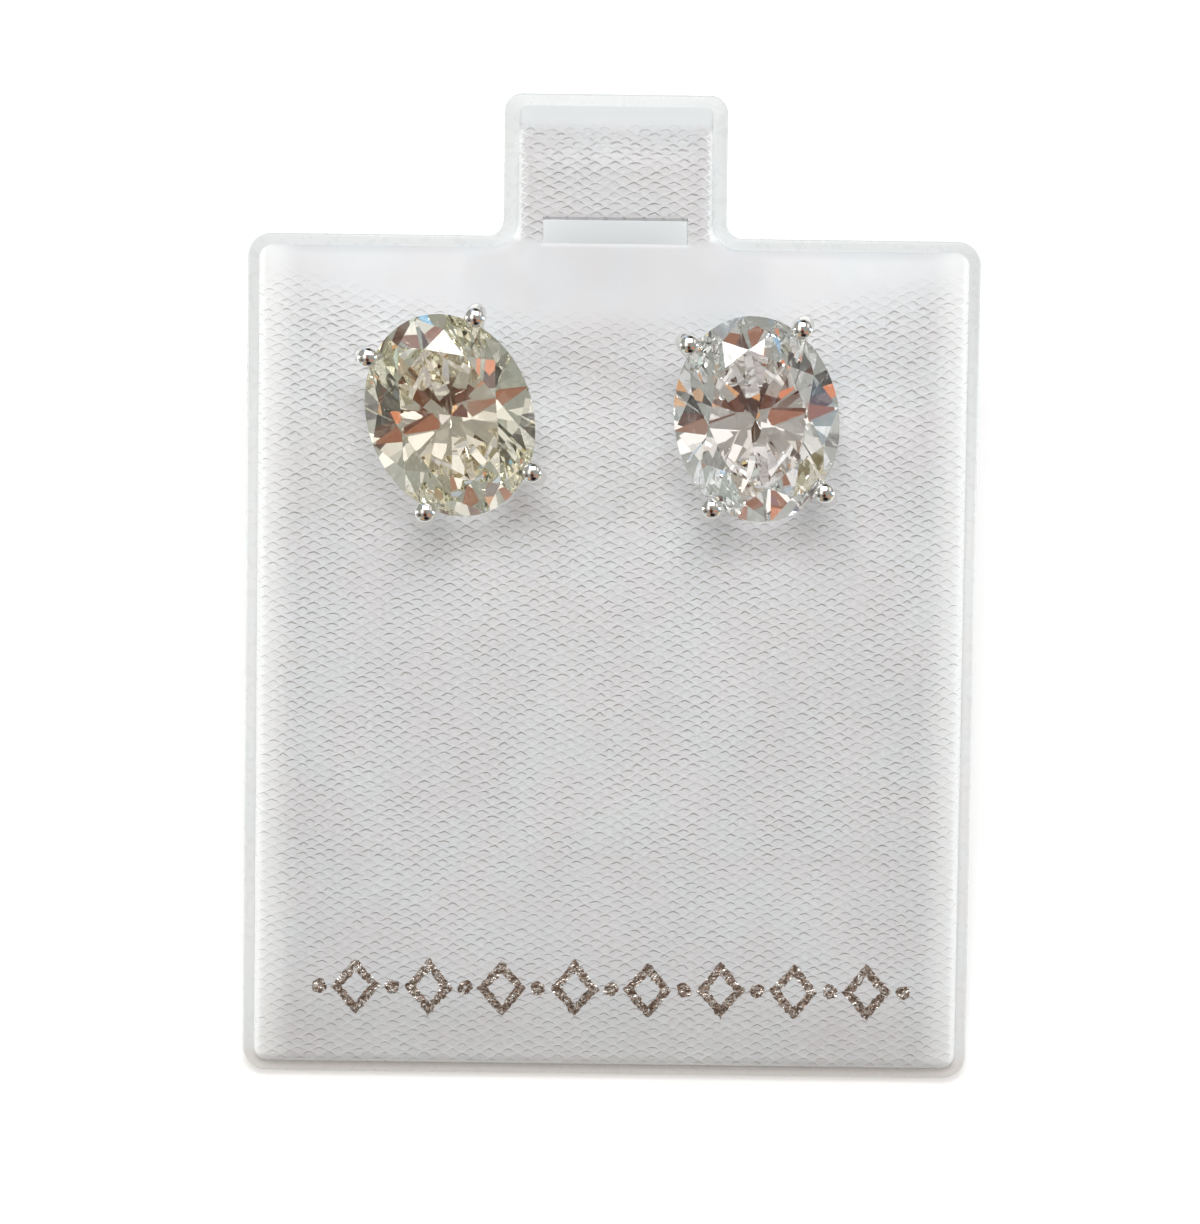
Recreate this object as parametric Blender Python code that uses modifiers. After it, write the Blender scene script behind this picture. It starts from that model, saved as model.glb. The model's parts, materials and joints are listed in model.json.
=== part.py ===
"""Two oval stud earrings pinned through a puffed display card that lies face up.

The card stands on its bottom edge and on the tips of the two posts, as it does on a table.
Card coordinates: X to the right, Y up the card from its bottom edge, Z out of its front
face, from the flat back. Each stud has its own coordinates round its post: X across the
stone, Y along it and Z as the card's.
"""

import math

import bmesh
import bpy
from mathutils import Matrix, Vector

# Card: the outline, the hanging slot and the clearance between pieces that touch
BODY_WIDTH = 0.0368
BODY_HEIGHT = 0.0424
TAB_WIDTH = 0.0112
TAB_HEIGHT = 0.0071
BODY_CORNER_RADIUS = 0.0012
TAB_CORNER_RADIUS = 0.0009
TAB_FILLET_RADIUS = 0.0008
SMALLEST_RADIUS = 0.0002
ARC_STEPS = 5
SLOT_WIDTH = 0.0072
SLOT_HEIGHT = 0.0013
SLOT_RISE = 0.0002
PART_GAP = 0.0003
BACK_PANEL_SHARE = 0.8

# Card: the welded border and the pad that rises inside it
BORDER_WIDTH = 0.00058
BORDER_THICKNESS = 0.0006
PAD_THICKNESS = 0.0020
PAD_SHOULDER_WIDTH = 0.0020
PAD_SHOULDER_POWER = 2.6
PAD_STEPS = 5

# Studs: where they pin through the card, and how far each is turned on its post
STUD_HEIGHT_ON_CARD = 0.0333
LEFT_STUD_X = -0.0079
RIGHT_STUD_X = 0.00695
LEFT_STUD_TURN = math.radians(21.0)
RIGHT_STUD_TURN = math.radians(8.6)

# Studs: the dent that each base presses into the pad
DENT_DEPTH = 0.00055
DENT_TOP_RADIUS = 0.0034
DENT_FLOOR_RADIUS = 0.0017

# Stones: an oval brilliant
STONE_WIDTH = 0.0080
STONE_LENGTH = 0.0100
CROWN_HEIGHT = 0.00115
GIRDLE_HEIGHT = 0.00030
PAVILION_DEPTH = 0.0034
TABLE_WIDTH = 0.0048
TABLE_LENGTH = 0.0067
STAR_SHARE = 0.36
LOWER_HALF_SHARE = 0.22
MAIN_FACETS = 8
GIRDLE_STEPS = 4
STONE_CLEARANCE = 0.0001

# Settings: base, post, prongs and gallery ring
BASE_RADIUS = 0.0013
BASE_HEIGHT = 0.0006
CULET_CLEARANCE = 0.00015
POST_LENGTH = 0.0095
POST_RADIUS = 0.00042
POST_TIP_RADIUS = 0.00028
TURNED_SIDES = 16
PRONG_RADIUS = 0.00048
PRONG_TIP_RADIUS = 0.00050
PRONG_ANGLE = math.radians(49.8)
PRONG_OUTSIDE_GIRDLE = 0.00025
PRONG_TIP_RISE = 0.00035
PRONG_STEPS = 3
GALLERY_RADIUS = 0.00032
GALLERY_STEPS = 32

# Settings: the bend of a prong, from the base to the tip, as shares of its reach and rise
PRONG_BEND = (
    # reach, rise
    (0.12, 0.06),
    (0.48, 0.34),
    (0.84, 0.60),
    (1.05, 0.82),
    (1.00, 1.00),
)
GALLERY_KNOT_INDEX = 2

# Ear nuts: one strip of metal rolled into a scroll on each side of the post
NUT_STRIP = 0.0003
NUT_LENGTH = 0.0036
NUT_SCROLL_RADIUS = 0.00105
NUT_SCROLL_TURN = math.radians(290.0)
NUT_GRIP_CLEARANCE = 0.0001
NUT_SCROLL_STEPS = 11

# Worked out from the sizes above
SEAT_HEIGHT = PAD_THICKNESS - DENT_DEPTH + PART_GAP
GIRDLE_CENTRE = SEAT_HEIGHT + BASE_HEIGHT + CULET_CLEARANCE + PAVILION_DEPTH + GIRDLE_HEIGHT / 2
POST_DROP = POST_LENGTH - SEAT_HEIGHT
SLOT_CENTRE = BODY_HEIGHT + SLOT_RISE
CARD_LENGTH = BODY_HEIGHT + TAB_HEIGHT
LEAN = math.atan2(POST_DROP, STUD_HEIGHT_ON_CARD - POST_TIP_RADIUS)

# Names of the collections and materials
OBJECT_NAME = "stud_earrings_on_card"
CUTTERS_NAME = "cutters"


def clear_scene():
    for obj in list(bpy.data.objects):
        bpy.data.objects.remove(obj, do_unlink=True)


def new_collection(name):
    collection = bpy.data.collections.new(name)
    bpy.context.scene.collection.children.link(collection)
    return collection


def new_material(name, colour, roughness, metallic=0.0, transmission=0.0, ior=1.5):
    material = bpy.data.materials.new(name)
    material.use_nodes = True
    shader = material.node_tree.nodes["Principled BSDF"]
    shader.inputs["Base Color"].default_value = (*colour, 1.0)
    shader.inputs["Roughness"].default_value = roughness
    shader.inputs["Metallic"].default_value = metallic
    shader.inputs["Transmission Weight"].default_value = transmission
    shader.inputs["IOR"].default_value = ior
    return material


def add_empty(name, collection, location, rotation, parent=None):
    empty = bpy.data.objects.new(name, None)
    empty.location = location
    empty.rotation_euler = rotation
    empty.parent = parent
    collection.objects.link(empty)
    return empty


def add_piece(name, mesh, collection, parent=None, material=None):
    piece = bpy.data.objects.new(name, mesh)
    piece.parent = parent
    collection.objects.link(piece)
    if material:
        mesh.materials.clear()
        mesh.materials.append(material)
    return piece


def shade_round(mesh, sharp_angle=math.radians(35.0)):
    mesh.shade_smooth()
    mesh.set_sharp_from_angle(angle=sharp_angle)


def boolean(piece, tool, operation):
    """Adds a Boolean modifier and makes the tool a guide that isn't part of the model."""
    modifier = piece.modifiers.new(f"{operation.lower()}_{tool.name}", "BOOLEAN")
    modifier.operation = operation
    modifier.object = tool
    tool.hide_render = True
    tool.display_type = "WIRE"


def realised(obj, weld=0.000001):
    """The object's evaluated mesh, with a curve's loose caps welded, as a new mesh."""
    bpy.context.view_layer.update()
    graph = bpy.context.evaluated_depsgraph_get()
    mesh = bpy.data.meshes.new_from_object(obj.evaluated_get(graph))
    mesh.name = obj.name
    shape = bmesh.new()
    shape.from_mesh(mesh)
    bmesh.ops.remove_doubles(shape, verts=shape.verts, dist=weld)
    bmesh.ops.recalc_face_normals(shape, faces=shape.faces)
    shape.to_mesh(mesh)
    shape.free()
    return mesh


def as_mesh_object(curve, collection):
    """Replaces a curve object with a mesh object of the same name and place."""
    mesh = realised(curve)
    name = curve.name
    place = curve.matrix_world.copy()
    bpy.data.objects.remove(curve, do_unlink=True)
    piece = add_piece(name, mesh, collection)
    piece.matrix_world = place
    return piece


def wire(name, points, radius, collection, closed=False):
    """A round wire along the points, as a mesh object with closed ends."""
    data = bpy.data.curves.new(name, "CURVE")
    data.dimensions = "3D"
    data.bevel_depth = radius
    data.bevel_resolution = 2
    data.use_fill_caps = not closed
    spline = data.splines.new("POLY")
    spline.points.add(len(points) - 1)
    for spline_point, point in zip(spline.points, points):
        spline_point.co = (*point, 1.0)
    spline.use_cyclic_u = closed
    curve = bpy.data.objects.new(name, data)
    collection.objects.link(curve)
    return as_mesh_object(curve, collection)


def through_knots(knots, steps):
    """Points on a smooth curve through the knots, by Catmull-Rom interpolation."""
    ends = [2 * knots[0] - knots[1], *knots, 2 * knots[-1] - knots[-2]]
    points = []
    for before, start, end, after in zip(ends, ends[1:], ends[2:], ends[3:]):
        for step in range(steps):
            t = step / steps
            points.append(
                0.5
                * (
                    2 * start
                    + (end - before) * t
                    + (2 * before - 5 * start + 4 * end - after) * t**2
                    + (3 * start - before - 3 * end + after) * t**3
                )
            )
    return [*points, knots[-1]]


def rounded_corner(corner, arriving, leaving, radius):
    """Points on the arc that rounds a right-angled corner of the outline."""
    centre = corner - arriving * radius + leaving * radius
    angles = [math.pi / 2 * step / ARC_STEPS for step in range(ARC_STEPS + 1)]
    return [centre + radius * (arriving * math.sin(a) - leaving * math.cos(a)) for a in angles]


def card_outline(inset):
    """The card's outline in its plane, moved inwards by the inset, anticlockwise."""
    side = BODY_WIDTH / 2 - inset
    tab_side = TAB_WIDTH / 2 - inset
    shoulder = BODY_HEIGHT - inset
    top = CARD_LENGTH - inset
    body_radius = max(BODY_CORNER_RADIUS - inset, SMALLEST_RADIUS)
    tab_radius = max(TAB_CORNER_RADIUS - inset, SMALLEST_RADIUS)
    fillet = TAB_FILLET_RADIUS + inset
    right, up, left, down = Vector((1, 0)), Vector((0, 1)), Vector((-1, 0)), Vector((0, -1))
    corners = (
        (Vector((-side, inset)), down, right, body_radius),
        (Vector((side, inset)), right, up, body_radius),
        (Vector((side, shoulder)), up, left, body_radius),
        (Vector((tab_side, shoulder)), left, up, fillet),
        (Vector((tab_side, top)), up, left, tab_radius),
        (Vector((-tab_side, top)), left, down, tab_radius),
        (Vector((-tab_side, shoulder)), down, left, fillet),
        (Vector((-side, shoulder)), left, down, body_radius),
    )
    return [point for corner in corners for point in rounded_corner(*corner)]


def pad_sections():
    """The inset and height of each section of the card, from its back to the pad's top."""
    sections = [(0.0, 0.0), (0.0, BORDER_THICKNESS), (BORDER_WIDTH, BORDER_THICKNESS)]
    rise = PAD_THICKNESS - BORDER_THICKNESS
    for step in range(1, PAD_STEPS + 1):
        share = (step / PAD_STEPS) ** 2
        bulge = (1 - (1 - share) ** PAD_SHOULDER_POWER) ** (1 / PAD_SHOULDER_POWER)
        sections.append((BORDER_WIDTH + PAD_SHOULDER_WIDTH * share, BORDER_THICKNESS + rise * bulge))
    return sections


def card_mesh():
    """The card without its holes, lofted through its outline at each section.

    An edge across it below the studs leaves the lower back a plain face of its own.
    """
    shape = bmesh.new()
    rings = []
    for inset, height in pad_sections():
        rings.append([shape.verts.new((*point, height)) for point in card_outline(inset)])
    shape.faces.new(reversed(rings[0]))
    shape.faces.new(rings[-1])
    count = len(rings[0])
    for lower, upper in zip(rings, rings[1:]):
        for i in range(count):
            j = (i + 1) % count
            shape.faces.new((lower[i], lower[j], upper[j], upper[i]))
    bmesh.ops.recalc_face_normals(shape, faces=shape.faces)
    bmesh.ops.bisect_plane(
        shape,
        geom=[*shape.verts, *shape.edges, *shape.faces],
        plane_co=(0.0, BACK_PANEL_SHARE * STUD_HEIGHT_ON_CARD, 0.0),
        plane_no=(0.0, 1.0, 0.0),
    )
    mesh = bpy.data.meshes.new("card")
    shape.to_mesh(mesh)
    shape.free()
    return mesh


def cone(name, low_radius, high_radius, low, high, sides, collection, parent):
    """A closed cone or cylinder on the Z axis, between two heights."""
    shape = bmesh.new()
    bmesh.ops.create_cone(
        shape,
        cap_ends=True,
        segments=sides,
        radius1=low_radius,
        radius2=high_radius,
        depth=high - low,
        matrix=Matrix.Translation((0, 0, (high + low) / 2)),
    )
    mesh = bpy.data.meshes.new(name)
    shape.to_mesh(mesh)
    shape.free()
    return add_piece(name, mesh, collection, parent)


def box(name, size, centre, collection, parent):
    shape = bmesh.new()
    bmesh.ops.create_cube(shape, size=1.0, matrix=Matrix.Translation(centre) @ Matrix.Diagonal((*size, 1)))
    mesh = bpy.data.meshes.new(name)
    shape.to_mesh(mesh)
    shape.free()
    return add_piece(name, mesh, collection, parent)


def make_card(collection, cutters, frame, studs, material):
    card = add_piece("card", card_mesh(), collection, frame, material)
    overcut = PAD_THICKNESS
    slot = box(
        "slot_cutter",
        (SLOT_WIDTH, SLOT_HEIGHT, PAD_THICKNESS + 2 * overcut),
        (0, SLOT_CENTRE, PAD_THICKNESS / 2),
        cutters,
        frame,
    )
    boolean(card, slot, "DIFFERENCE")
    slope = (DENT_TOP_RADIUS - DENT_FLOOR_RADIUS) / DENT_DEPTH
    for side, stud in studs.items():
        dent = cone(
            f"{side}_dent_cutter",
            DENT_FLOOR_RADIUS,
            DENT_TOP_RADIUS + slope * DENT_DEPTH,
            PAD_THICKNESS - DENT_DEPTH,
            PAD_THICKNESS + DENT_DEPTH,
            2 * TURNED_SIDES,
            cutters,
            stud,
        )
        boolean(card, dent, "DIFFERENCE")
        hole_radius = POST_RADIUS + PART_GAP
        hole = cone(
            f"{side}_post_cutter",
            hole_radius,
            hole_radius,
            -overcut,
            PAD_THICKNESS + overcut,
            TURNED_SIDES,
            cutters,
            stud,
        )
        boolean(card, hole, "DIFFERENCE")
    return card


def ellipse_point(half_width, half_length, angle):
    return Vector((half_width * math.cos(angle), half_length * math.sin(angle)))


def crossing(point_a, direction_a, point_b, direction_b):
    """Where two lines in the plane cross."""
    along = (point_b - point_a).cross(direction_b) / direction_a.cross(direction_b)
    return point_a + direction_a * along


def height_on_facet(corners, point):
    """The height at which a vertical line meets the plane through three corners."""
    normal = (corners[1] - corners[0]).cross(corners[2] - corners[0])
    away = Vector((point.x - corners[0].x, point.y - corners[0].y))
    return corners[0].z - (normal.x * away.x + normal.y * away.y) / normal.z


def facet_rows(half_width, half_length, inner, inner_height, girdle_height, share):
    """The facet corners between the girdle and the table or culet.

    Each main facet holds its inner corner and the girdle's tangent below it. Two main
    facets meet in a line, and the pair's tip lies on that line, a share of the way out.
    Returns the tips, and the girdle's points with each at the height of its own facet.
    """
    turn = 2 * math.pi / MAIN_FACETS
    tangents = [
        Vector((-half_width * math.sin(k * turn), half_length * math.cos(k * turn)))
        for k in range(MAIN_FACETS)
    ]
    outer = [ellipse_point(half_width, half_length, k * turn) for k in range(MAIN_FACETS)]
    tips = []
    girdle = []
    for k in range(MAIN_FACETS):
        j = (k + 1) % MAIN_FACETS
        low = crossing(outer[k], tangents[k], outer[j], tangents[j])
        high = crossing(inner[k], tangents[k], inner[j], tangents[j]) if inner[k] != inner[j] else inner[k]
        tip = Vector((*high, inner_height)).lerp(Vector((*low, girdle_height)), share)
        tips.append(tip)
        for half in range(2):
            ends = [
                ellipse_point(half_width, half_length, (k + (half + end) / 2) * turn) for end in range(2)
            ]
            corners = [tip] + [Vector((*end, girdle_height)) for end in ends]
            for step in range(GIRDLE_STEPS):
                angle = (k + (half + step / GIRDLE_STEPS) / 2) * turn
                point = ellipse_point(half_width, half_length, angle)
                girdle.append(Vector((*point, height_on_facet(corners, point))))
    return tips, girdle


def stone_mesh(name, clearance=0.0):
    """An oval brilliant about its girdle's centre, with every facet flat."""
    half_width = STONE_WIDTH / 2 + clearance
    half_length = STONE_LENGTH / 2 + clearance
    girdle_top = GIRDLE_HEIGHT / 2 + clearance
    table_height = girdle_top + CROWN_HEIGHT
    culet_height = -girdle_top - PAVILION_DEPTH
    turn = 2 * math.pi / MAIN_FACETS
    table = [
        ellipse_point(TABLE_WIDTH / 2 + clearance, TABLE_LENGTH / 2 + clearance, k * turn)
        for k in range(MAIN_FACETS)
    ]
    culet = [Vector((0.0, 0.0))] * MAIN_FACETS
    star_tips, upper = facet_rows(
        half_width, half_length, table, table_height, girdle_top, STAR_SHARE
    )
    lower_tips, lower = facet_rows(
        half_width, half_length, culet, culet_height, -girdle_top, LOWER_HALF_SHARE
    )
    shape = bmesh.new()
    table_verts = [shape.verts.new((*point, table_height)) for point in table]
    star_verts = [shape.verts.new(point) for point in star_tips]
    upper_verts = [shape.verts.new(point) for point in upper]
    lower_verts = [shape.verts.new(point) for point in lower]
    tip_verts = [shape.verts.new(point) for point in lower_tips]
    culet_vert = shape.verts.new((0.0, 0.0, culet_height))
    shape.faces.new(table_verts)
    around = len(upper_verts)
    per_main = 2 * GIRDLE_STEPS
    for k in range(MAIN_FACETS):
        j = (k + 1) % MAIN_FACETS
        start = k * per_main
        shape.faces.new((table_verts[k], star_verts[k], table_verts[j]))
        shape.faces.new((table_verts[k], star_verts[k - 1], upper_verts[start], star_verts[k]))
        shape.faces.new((culet_vert, tip_verts[k], lower_verts[start], tip_verts[k - 1]))
        for half in range(2):
            first = start + half * GIRDLE_STEPS
            run = [(first + step) % around for step in range(GIRDLE_STEPS + 1)]
            shape.faces.new([star_verts[k]] + [upper_verts[i] for i in run])
            shape.faces.new([tip_verts[k]] + [lower_verts[i] for i in reversed(run)])
    for i in range(around):
        j = (i + 1) % around
        shape.faces.new((lower_verts[i], lower_verts[j], upper_verts[j], upper_verts[i]))
    bmesh.ops.recalc_face_normals(shape, faces=shape.faces)
    mesh = bpy.data.meshes.new(name)
    shape.to_mesh(mesh)
    shape.free()
    return mesh


def turned(name, profile, sides, collection):
    """A turned shape from a profile that runs down its outer side, as a mesh object."""
    shape = bmesh.new()
    verts = [shape.verts.new((radius, 0.0, height)) for radius, height in profile]
    for a, b in zip(verts, verts[1:]):
        shape.edges.new((a, b))
    mesh = bpy.data.meshes.new(name)
    shape.to_mesh(mesh)
    shape.free()
    piece = add_piece(name, mesh, collection)
    screw = piece.modifiers.new("turn", "SCREW")
    screw.steps = sides
    screw.render_steps = sides
    screw.use_merge_vertices = True
    screw.merge_threshold = 0.00001
    return as_mesh_object(piece, collection)


def ball(name, radius, centre, collection):
    shape = bmesh.new()
    bmesh.ops.create_uvsphere(
        shape, u_segments=12, v_segments=8, radius=radius, matrix=Matrix.Translation(centre)
    )
    mesh = bpy.data.meshes.new(name)
    shape.to_mesh(mesh)
    shape.free()
    return add_piece(name, mesh, collection)


def prong_knots(quarter):
    """The knots of one prong's centre line, from the base to the tip."""
    mirror_x = -1 if quarter in (1, 2) else 1
    mirror_y = -1 if quarter in (2, 3) else 1
    on_girdle = ellipse_point(STONE_WIDTH / 2, STONE_LENGTH / 2, PRONG_ANGLE)
    outwards = ellipse_point(1 / STONE_WIDTH, 1 / STONE_LENGTH, PRONG_ANGLE).normalized()
    tip = on_girdle + outwards * PRONG_OUTSIDE_GIRDLE
    rise = GIRDLE_CENTRE + PRONG_TIP_RISE - SEAT_HEIGHT
    return [
        Vector((mirror_x * tip.x * reach, mirror_y * tip.y * reach, SEAT_HEIGHT + rise * share))
        for reach, share in PRONG_BEND
    ]


def gallery_points():
    """The oval of the gallery ring, through the same knot of all four prongs."""
    knot = prong_knots(0)[GALLERY_KNOT_INDEX]
    across = math.hypot(knot.x * 2 / STONE_WIDTH, knot.y * 2 / STONE_LENGTH)
    turn = 2 * math.pi / GALLERY_STEPS
    ring = [
        ellipse_point(across * STONE_WIDTH / 2, across * STONE_LENGTH / 2, i * turn)
        for i in range(GALLERY_STEPS)
    ]
    return [(*point, knot.z) for point in ring]


def setting_mesh(cutters):
    """The basket, prongs, gallery ring and post of one stud, soldered into one solid."""
    tip_slope = POST_RADIUS - POST_TIP_RADIUS
    profile = (
        (0.0, SEAT_HEIGHT + BASE_HEIGHT),
        (BASE_RADIUS, SEAT_HEIGHT + BASE_HEIGHT),
        (BASE_RADIUS, SEAT_HEIGHT),
        (POST_RADIUS, SEAT_HEIGHT),
        (POST_RADIUS, tip_slope - POST_DROP),
        (POST_TIP_RADIUS, -POST_DROP),
        (0.0, -POST_DROP),
    )
    setting = turned("setting", profile, TURNED_SIDES, cutters)
    tools = [wire("gallery", gallery_points(), GALLERY_RADIUS, cutters, closed=True)]
    for quarter in range(4):
        knots = prong_knots(quarter)
        tools.append(
            wire(f"prong_{quarter + 1}", through_knots(knots, PRONG_STEPS), PRONG_RADIUS, cutters)
        )
        tools.append(ball(f"prong_tip_{quarter + 1}", PRONG_TIP_RADIUS, knots[-1], cutters))
    for tool in tools:
        boolean(setting, tool, "UNION")
    seat = add_piece("stone_seat", stone_mesh("stone_seat", STONE_CLEARANCE), cutters)
    seat.location.z = GIRDLE_CENTRE
    boolean(setting, seat, "DIFFERENCE")
    mesh = realised(setting)
    shade_round(mesh)
    for helper in (setting, seat, *tools):
        bpy.data.objects.remove(helper, do_unlink=True)
    return mesh


def nut_side(offset, mirror):
    """Points on one side of the nut's strip, from the plate round one scroll to its end."""
    reach = POST_RADIUS + NUT_GRIP_CLEARANCE + NUT_STRIP / 2 + NUT_SCROLL_RADIUS
    centre_height = -PART_GAP - NUT_STRIP / 2 - NUT_SCROLL_RADIUS
    radius = NUT_SCROLL_RADIUS + offset
    points = []
    for step in range(NUT_SCROLL_STEPS + 1):
        angle = math.pi / 2 - NUT_SCROLL_TURN * step / NUT_SCROLL_STEPS
        x = reach + radius * math.cos(angle)
        points.append((mirror * x, centre_height + radius * math.sin(angle)))
    return points


def nut_mesh(cutters):
    """The scroll nut: its outline drawn across the post, extruded and bored for the post."""
    half = NUT_STRIP / 2
    outline = [
        *reversed(nut_side(half, -1)),
        *nut_side(half, 1),
        *reversed(nut_side(-half, 1)),
        *nut_side(-half, -1),
    ]
    data = bpy.data.curves.new("ear_nut", "CURVE")
    data.dimensions = "2D"
    data.fill_mode = "BOTH"
    data.extrude = NUT_LENGTH / 2
    spline = data.splines.new("POLY")
    spline.points.add(len(outline) - 1)
    for spline_point, point in zip(spline.points, outline):
        spline_point.co = (*point, 0.0, 1.0)
    spline.use_cyclic_u = True
    curve = bpy.data.objects.new("ear_nut", data)
    cutters.objects.link(curve)
    nut = as_mesh_object(curve, cutters)
    nut.rotation_euler.x = math.pi / 2
    bore_radius = POST_RADIUS + NUT_GRIP_CLEARANCE
    bore = cone(
        "nut_bore_cutter", bore_radius, bore_radius, -POST_DROP, PAD_THICKNESS, TURNED_SIDES, cutters, None
    )
    boolean(nut, bore, "DIFFERENCE")
    mesh = realised(nut)
    mesh.transform(nut.matrix_world)
    shade_round(mesh)
    for helper in (nut, bore):
        bpy.data.objects.remove(helper, do_unlink=True)
    return mesh


def main():
    clear_scene()
    collection = new_collection(OBJECT_NAME)
    cutters = new_collection(CUTTERS_NAME)
    vinyl = new_material("card_vinyl", (0.72, 0.73, 0.75), 0.35)
    silver = new_material("silver", (0.82, 0.81, 0.79), 0.10, metallic=1.0)
    crystal = new_material("crystal", (1.0, 0.99, 0.97), 0.0, transmission=1.0, ior=2.15)

    lowest_y = -BORDER_THICKNESS * math.sin(LEAN)
    highest_y = CARD_LENGTH * math.cos(LEAN)
    frame = add_empty(
        "card_frame", collection, (0.0, -(lowest_y + highest_y) / 2, 0.0), (LEAN, 0.0, 0.0)
    )
    studs = {}
    for side, x, turn in (
        ("left", LEFT_STUD_X, LEFT_STUD_TURN),
        ("right", RIGHT_STUD_X, RIGHT_STUD_TURN),
    ):
        place = (x, STUD_HEIGHT_ON_CARD, 0.0)
        studs[side] = add_empty(f"{side}_stud", collection, place, (0.0, 0.0, turn), frame)

    make_card(collection, cutters, frame, studs, vinyl)
    setting = setting_mesh(cutters)
    stone = stone_mesh("stone")
    nut = nut_mesh(cutters)
    for side, stud in studs.items():
        add_piece(f"{side}_setting", setting, collection, stud, silver)
        gem = add_piece(f"{side}_stone", stone, collection, stud, crystal)
        gem.location.z = GIRDLE_CENTRE
        add_piece(f"{side}_ear_nut", nut, collection, stud, silver)


main()
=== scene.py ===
"""Looks for two oval stud earrings pinned through a puffed white display card.

Everything on the card is made in card coordinates, in metres: X to the right, Y up the card
from its bottom edge and Z out of its front, from the flat back. Each stud has its own
coordinates round its post. Both are placed by the frame.
"""

import json
import math

import bmesh
import bpy
import numpy as np
from mathutils import Matrix, Vector


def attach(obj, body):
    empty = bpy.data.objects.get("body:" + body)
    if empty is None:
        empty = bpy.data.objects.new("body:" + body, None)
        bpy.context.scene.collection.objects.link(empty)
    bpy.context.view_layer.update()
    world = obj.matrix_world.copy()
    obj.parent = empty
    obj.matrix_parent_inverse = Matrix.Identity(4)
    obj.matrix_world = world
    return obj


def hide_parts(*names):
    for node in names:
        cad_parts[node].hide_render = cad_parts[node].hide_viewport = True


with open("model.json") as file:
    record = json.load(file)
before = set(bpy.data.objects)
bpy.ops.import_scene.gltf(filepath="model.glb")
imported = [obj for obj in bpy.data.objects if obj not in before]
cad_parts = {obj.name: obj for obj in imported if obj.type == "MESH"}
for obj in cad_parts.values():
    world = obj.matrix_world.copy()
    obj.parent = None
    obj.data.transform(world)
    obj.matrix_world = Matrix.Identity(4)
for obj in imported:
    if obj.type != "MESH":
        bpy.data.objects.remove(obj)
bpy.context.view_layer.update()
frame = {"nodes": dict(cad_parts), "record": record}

MM = 0.001
MERGE_DISTANCE = 0.001 * MM

# Card: outline, slot, border and pad, as in the model
BODY_WIDTH = 36.8 * MM
BODY_HEIGHT = 42.4 * MM
TAB_WIDTH = 11.2 * MM
TAB_HEIGHT = 7.1 * MM
BODY_CORNER_RADIUS = 1.2 * MM
TAB_CORNER_RADIUS = 0.9 * MM
TAB_FILLET_RADIUS = 0.8 * MM
SLOT_WIDTH = 7.2 * MM
SLOT_HEIGHT = 1.3 * MM
SLOT_CENTRE = BODY_HEIGHT + 0.2 * MM
SLOT_SIDE = SLOT_WIDTH / 2
SLOT_LOW = SLOT_CENTRE - SLOT_HEIGHT / 2
SLOT_HIGH = SLOT_CENTRE + SLOT_HEIGHT / 2
BORDER_WIDTH = 0.58 * MM
TAB_BORDER_WIDTH = 0.74 * MM
BORDER_THICKNESS = 0.6 * MM
PAD_THICKNESS = 2.0 * MM
CARD_LENGTH = BODY_HEIGHT + TAB_HEIGHT
PAD_SIDE = BODY_WIDTH / 2 - BORDER_WIDTH
PAD_TAB_SIDE = TAB_WIDTH / 2 - TAB_BORDER_WIDTH
PAD_BOTTOM = 0.54 * MM
PAD_SHOULDER = BODY_HEIGHT - BORDER_WIDTH
PAD_TOP = CARD_LENGTH - BORDER_WIDTH

# Pad: a welded wall at its foot, and a roll inside it, as a share of the rise left and a width
PAD_CORNER_RADIUS = 0.7 * MM
PAD_TAB_CORNER_RADIUS = TAB_CORNER_RADIUS - BORDER_WIDTH
PAD_WALL_WIDTH = 0.62 * MM
PAD_WALL_POWER = 2.2
PAD_EDGE_SIDE = (0.62, 2.4 * MM)
PAD_EDGE_BOTTOM = (0.60, 4.4 * MM)
PAD_EDGE_TOP = (0.26, 11.5 * MM)
PAD_EDGE_TAB_SIDE = (0.80, 1.3 * MM)
PAD_EDGE_TAB_TOP = (0.03, 3.4 * MM)
PAD_TAB_BLEND = (PAD_SHOULDER - 1.5 * MM, PAD_SHOULDER + 0.5 * MM)
PAD_SHOULDER_BLEND = (PAD_TAB_SIDE - 0.5 * MM, PAD_TAB_SIDE + 3.0 * MM)
PAD_CALM_EDGE = 2.0 * MM

# Card: the edges, the slot's lip and the parts of the pad that are out of sight
BASE_EDGE_RADIUS = 0.14 * MM
BASE_SLOT_GAP = 0.01 * MM
SLOT_LIP_DEPTH = 0.04 * MM
SLOT_LIP_WIDTH = 0.25 * MM
PAD_SINK = 0.03 * MM
PAD_FLOOR = 0.3 * MM
POST_HOLE_RADIUS = 0.6 * MM

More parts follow.
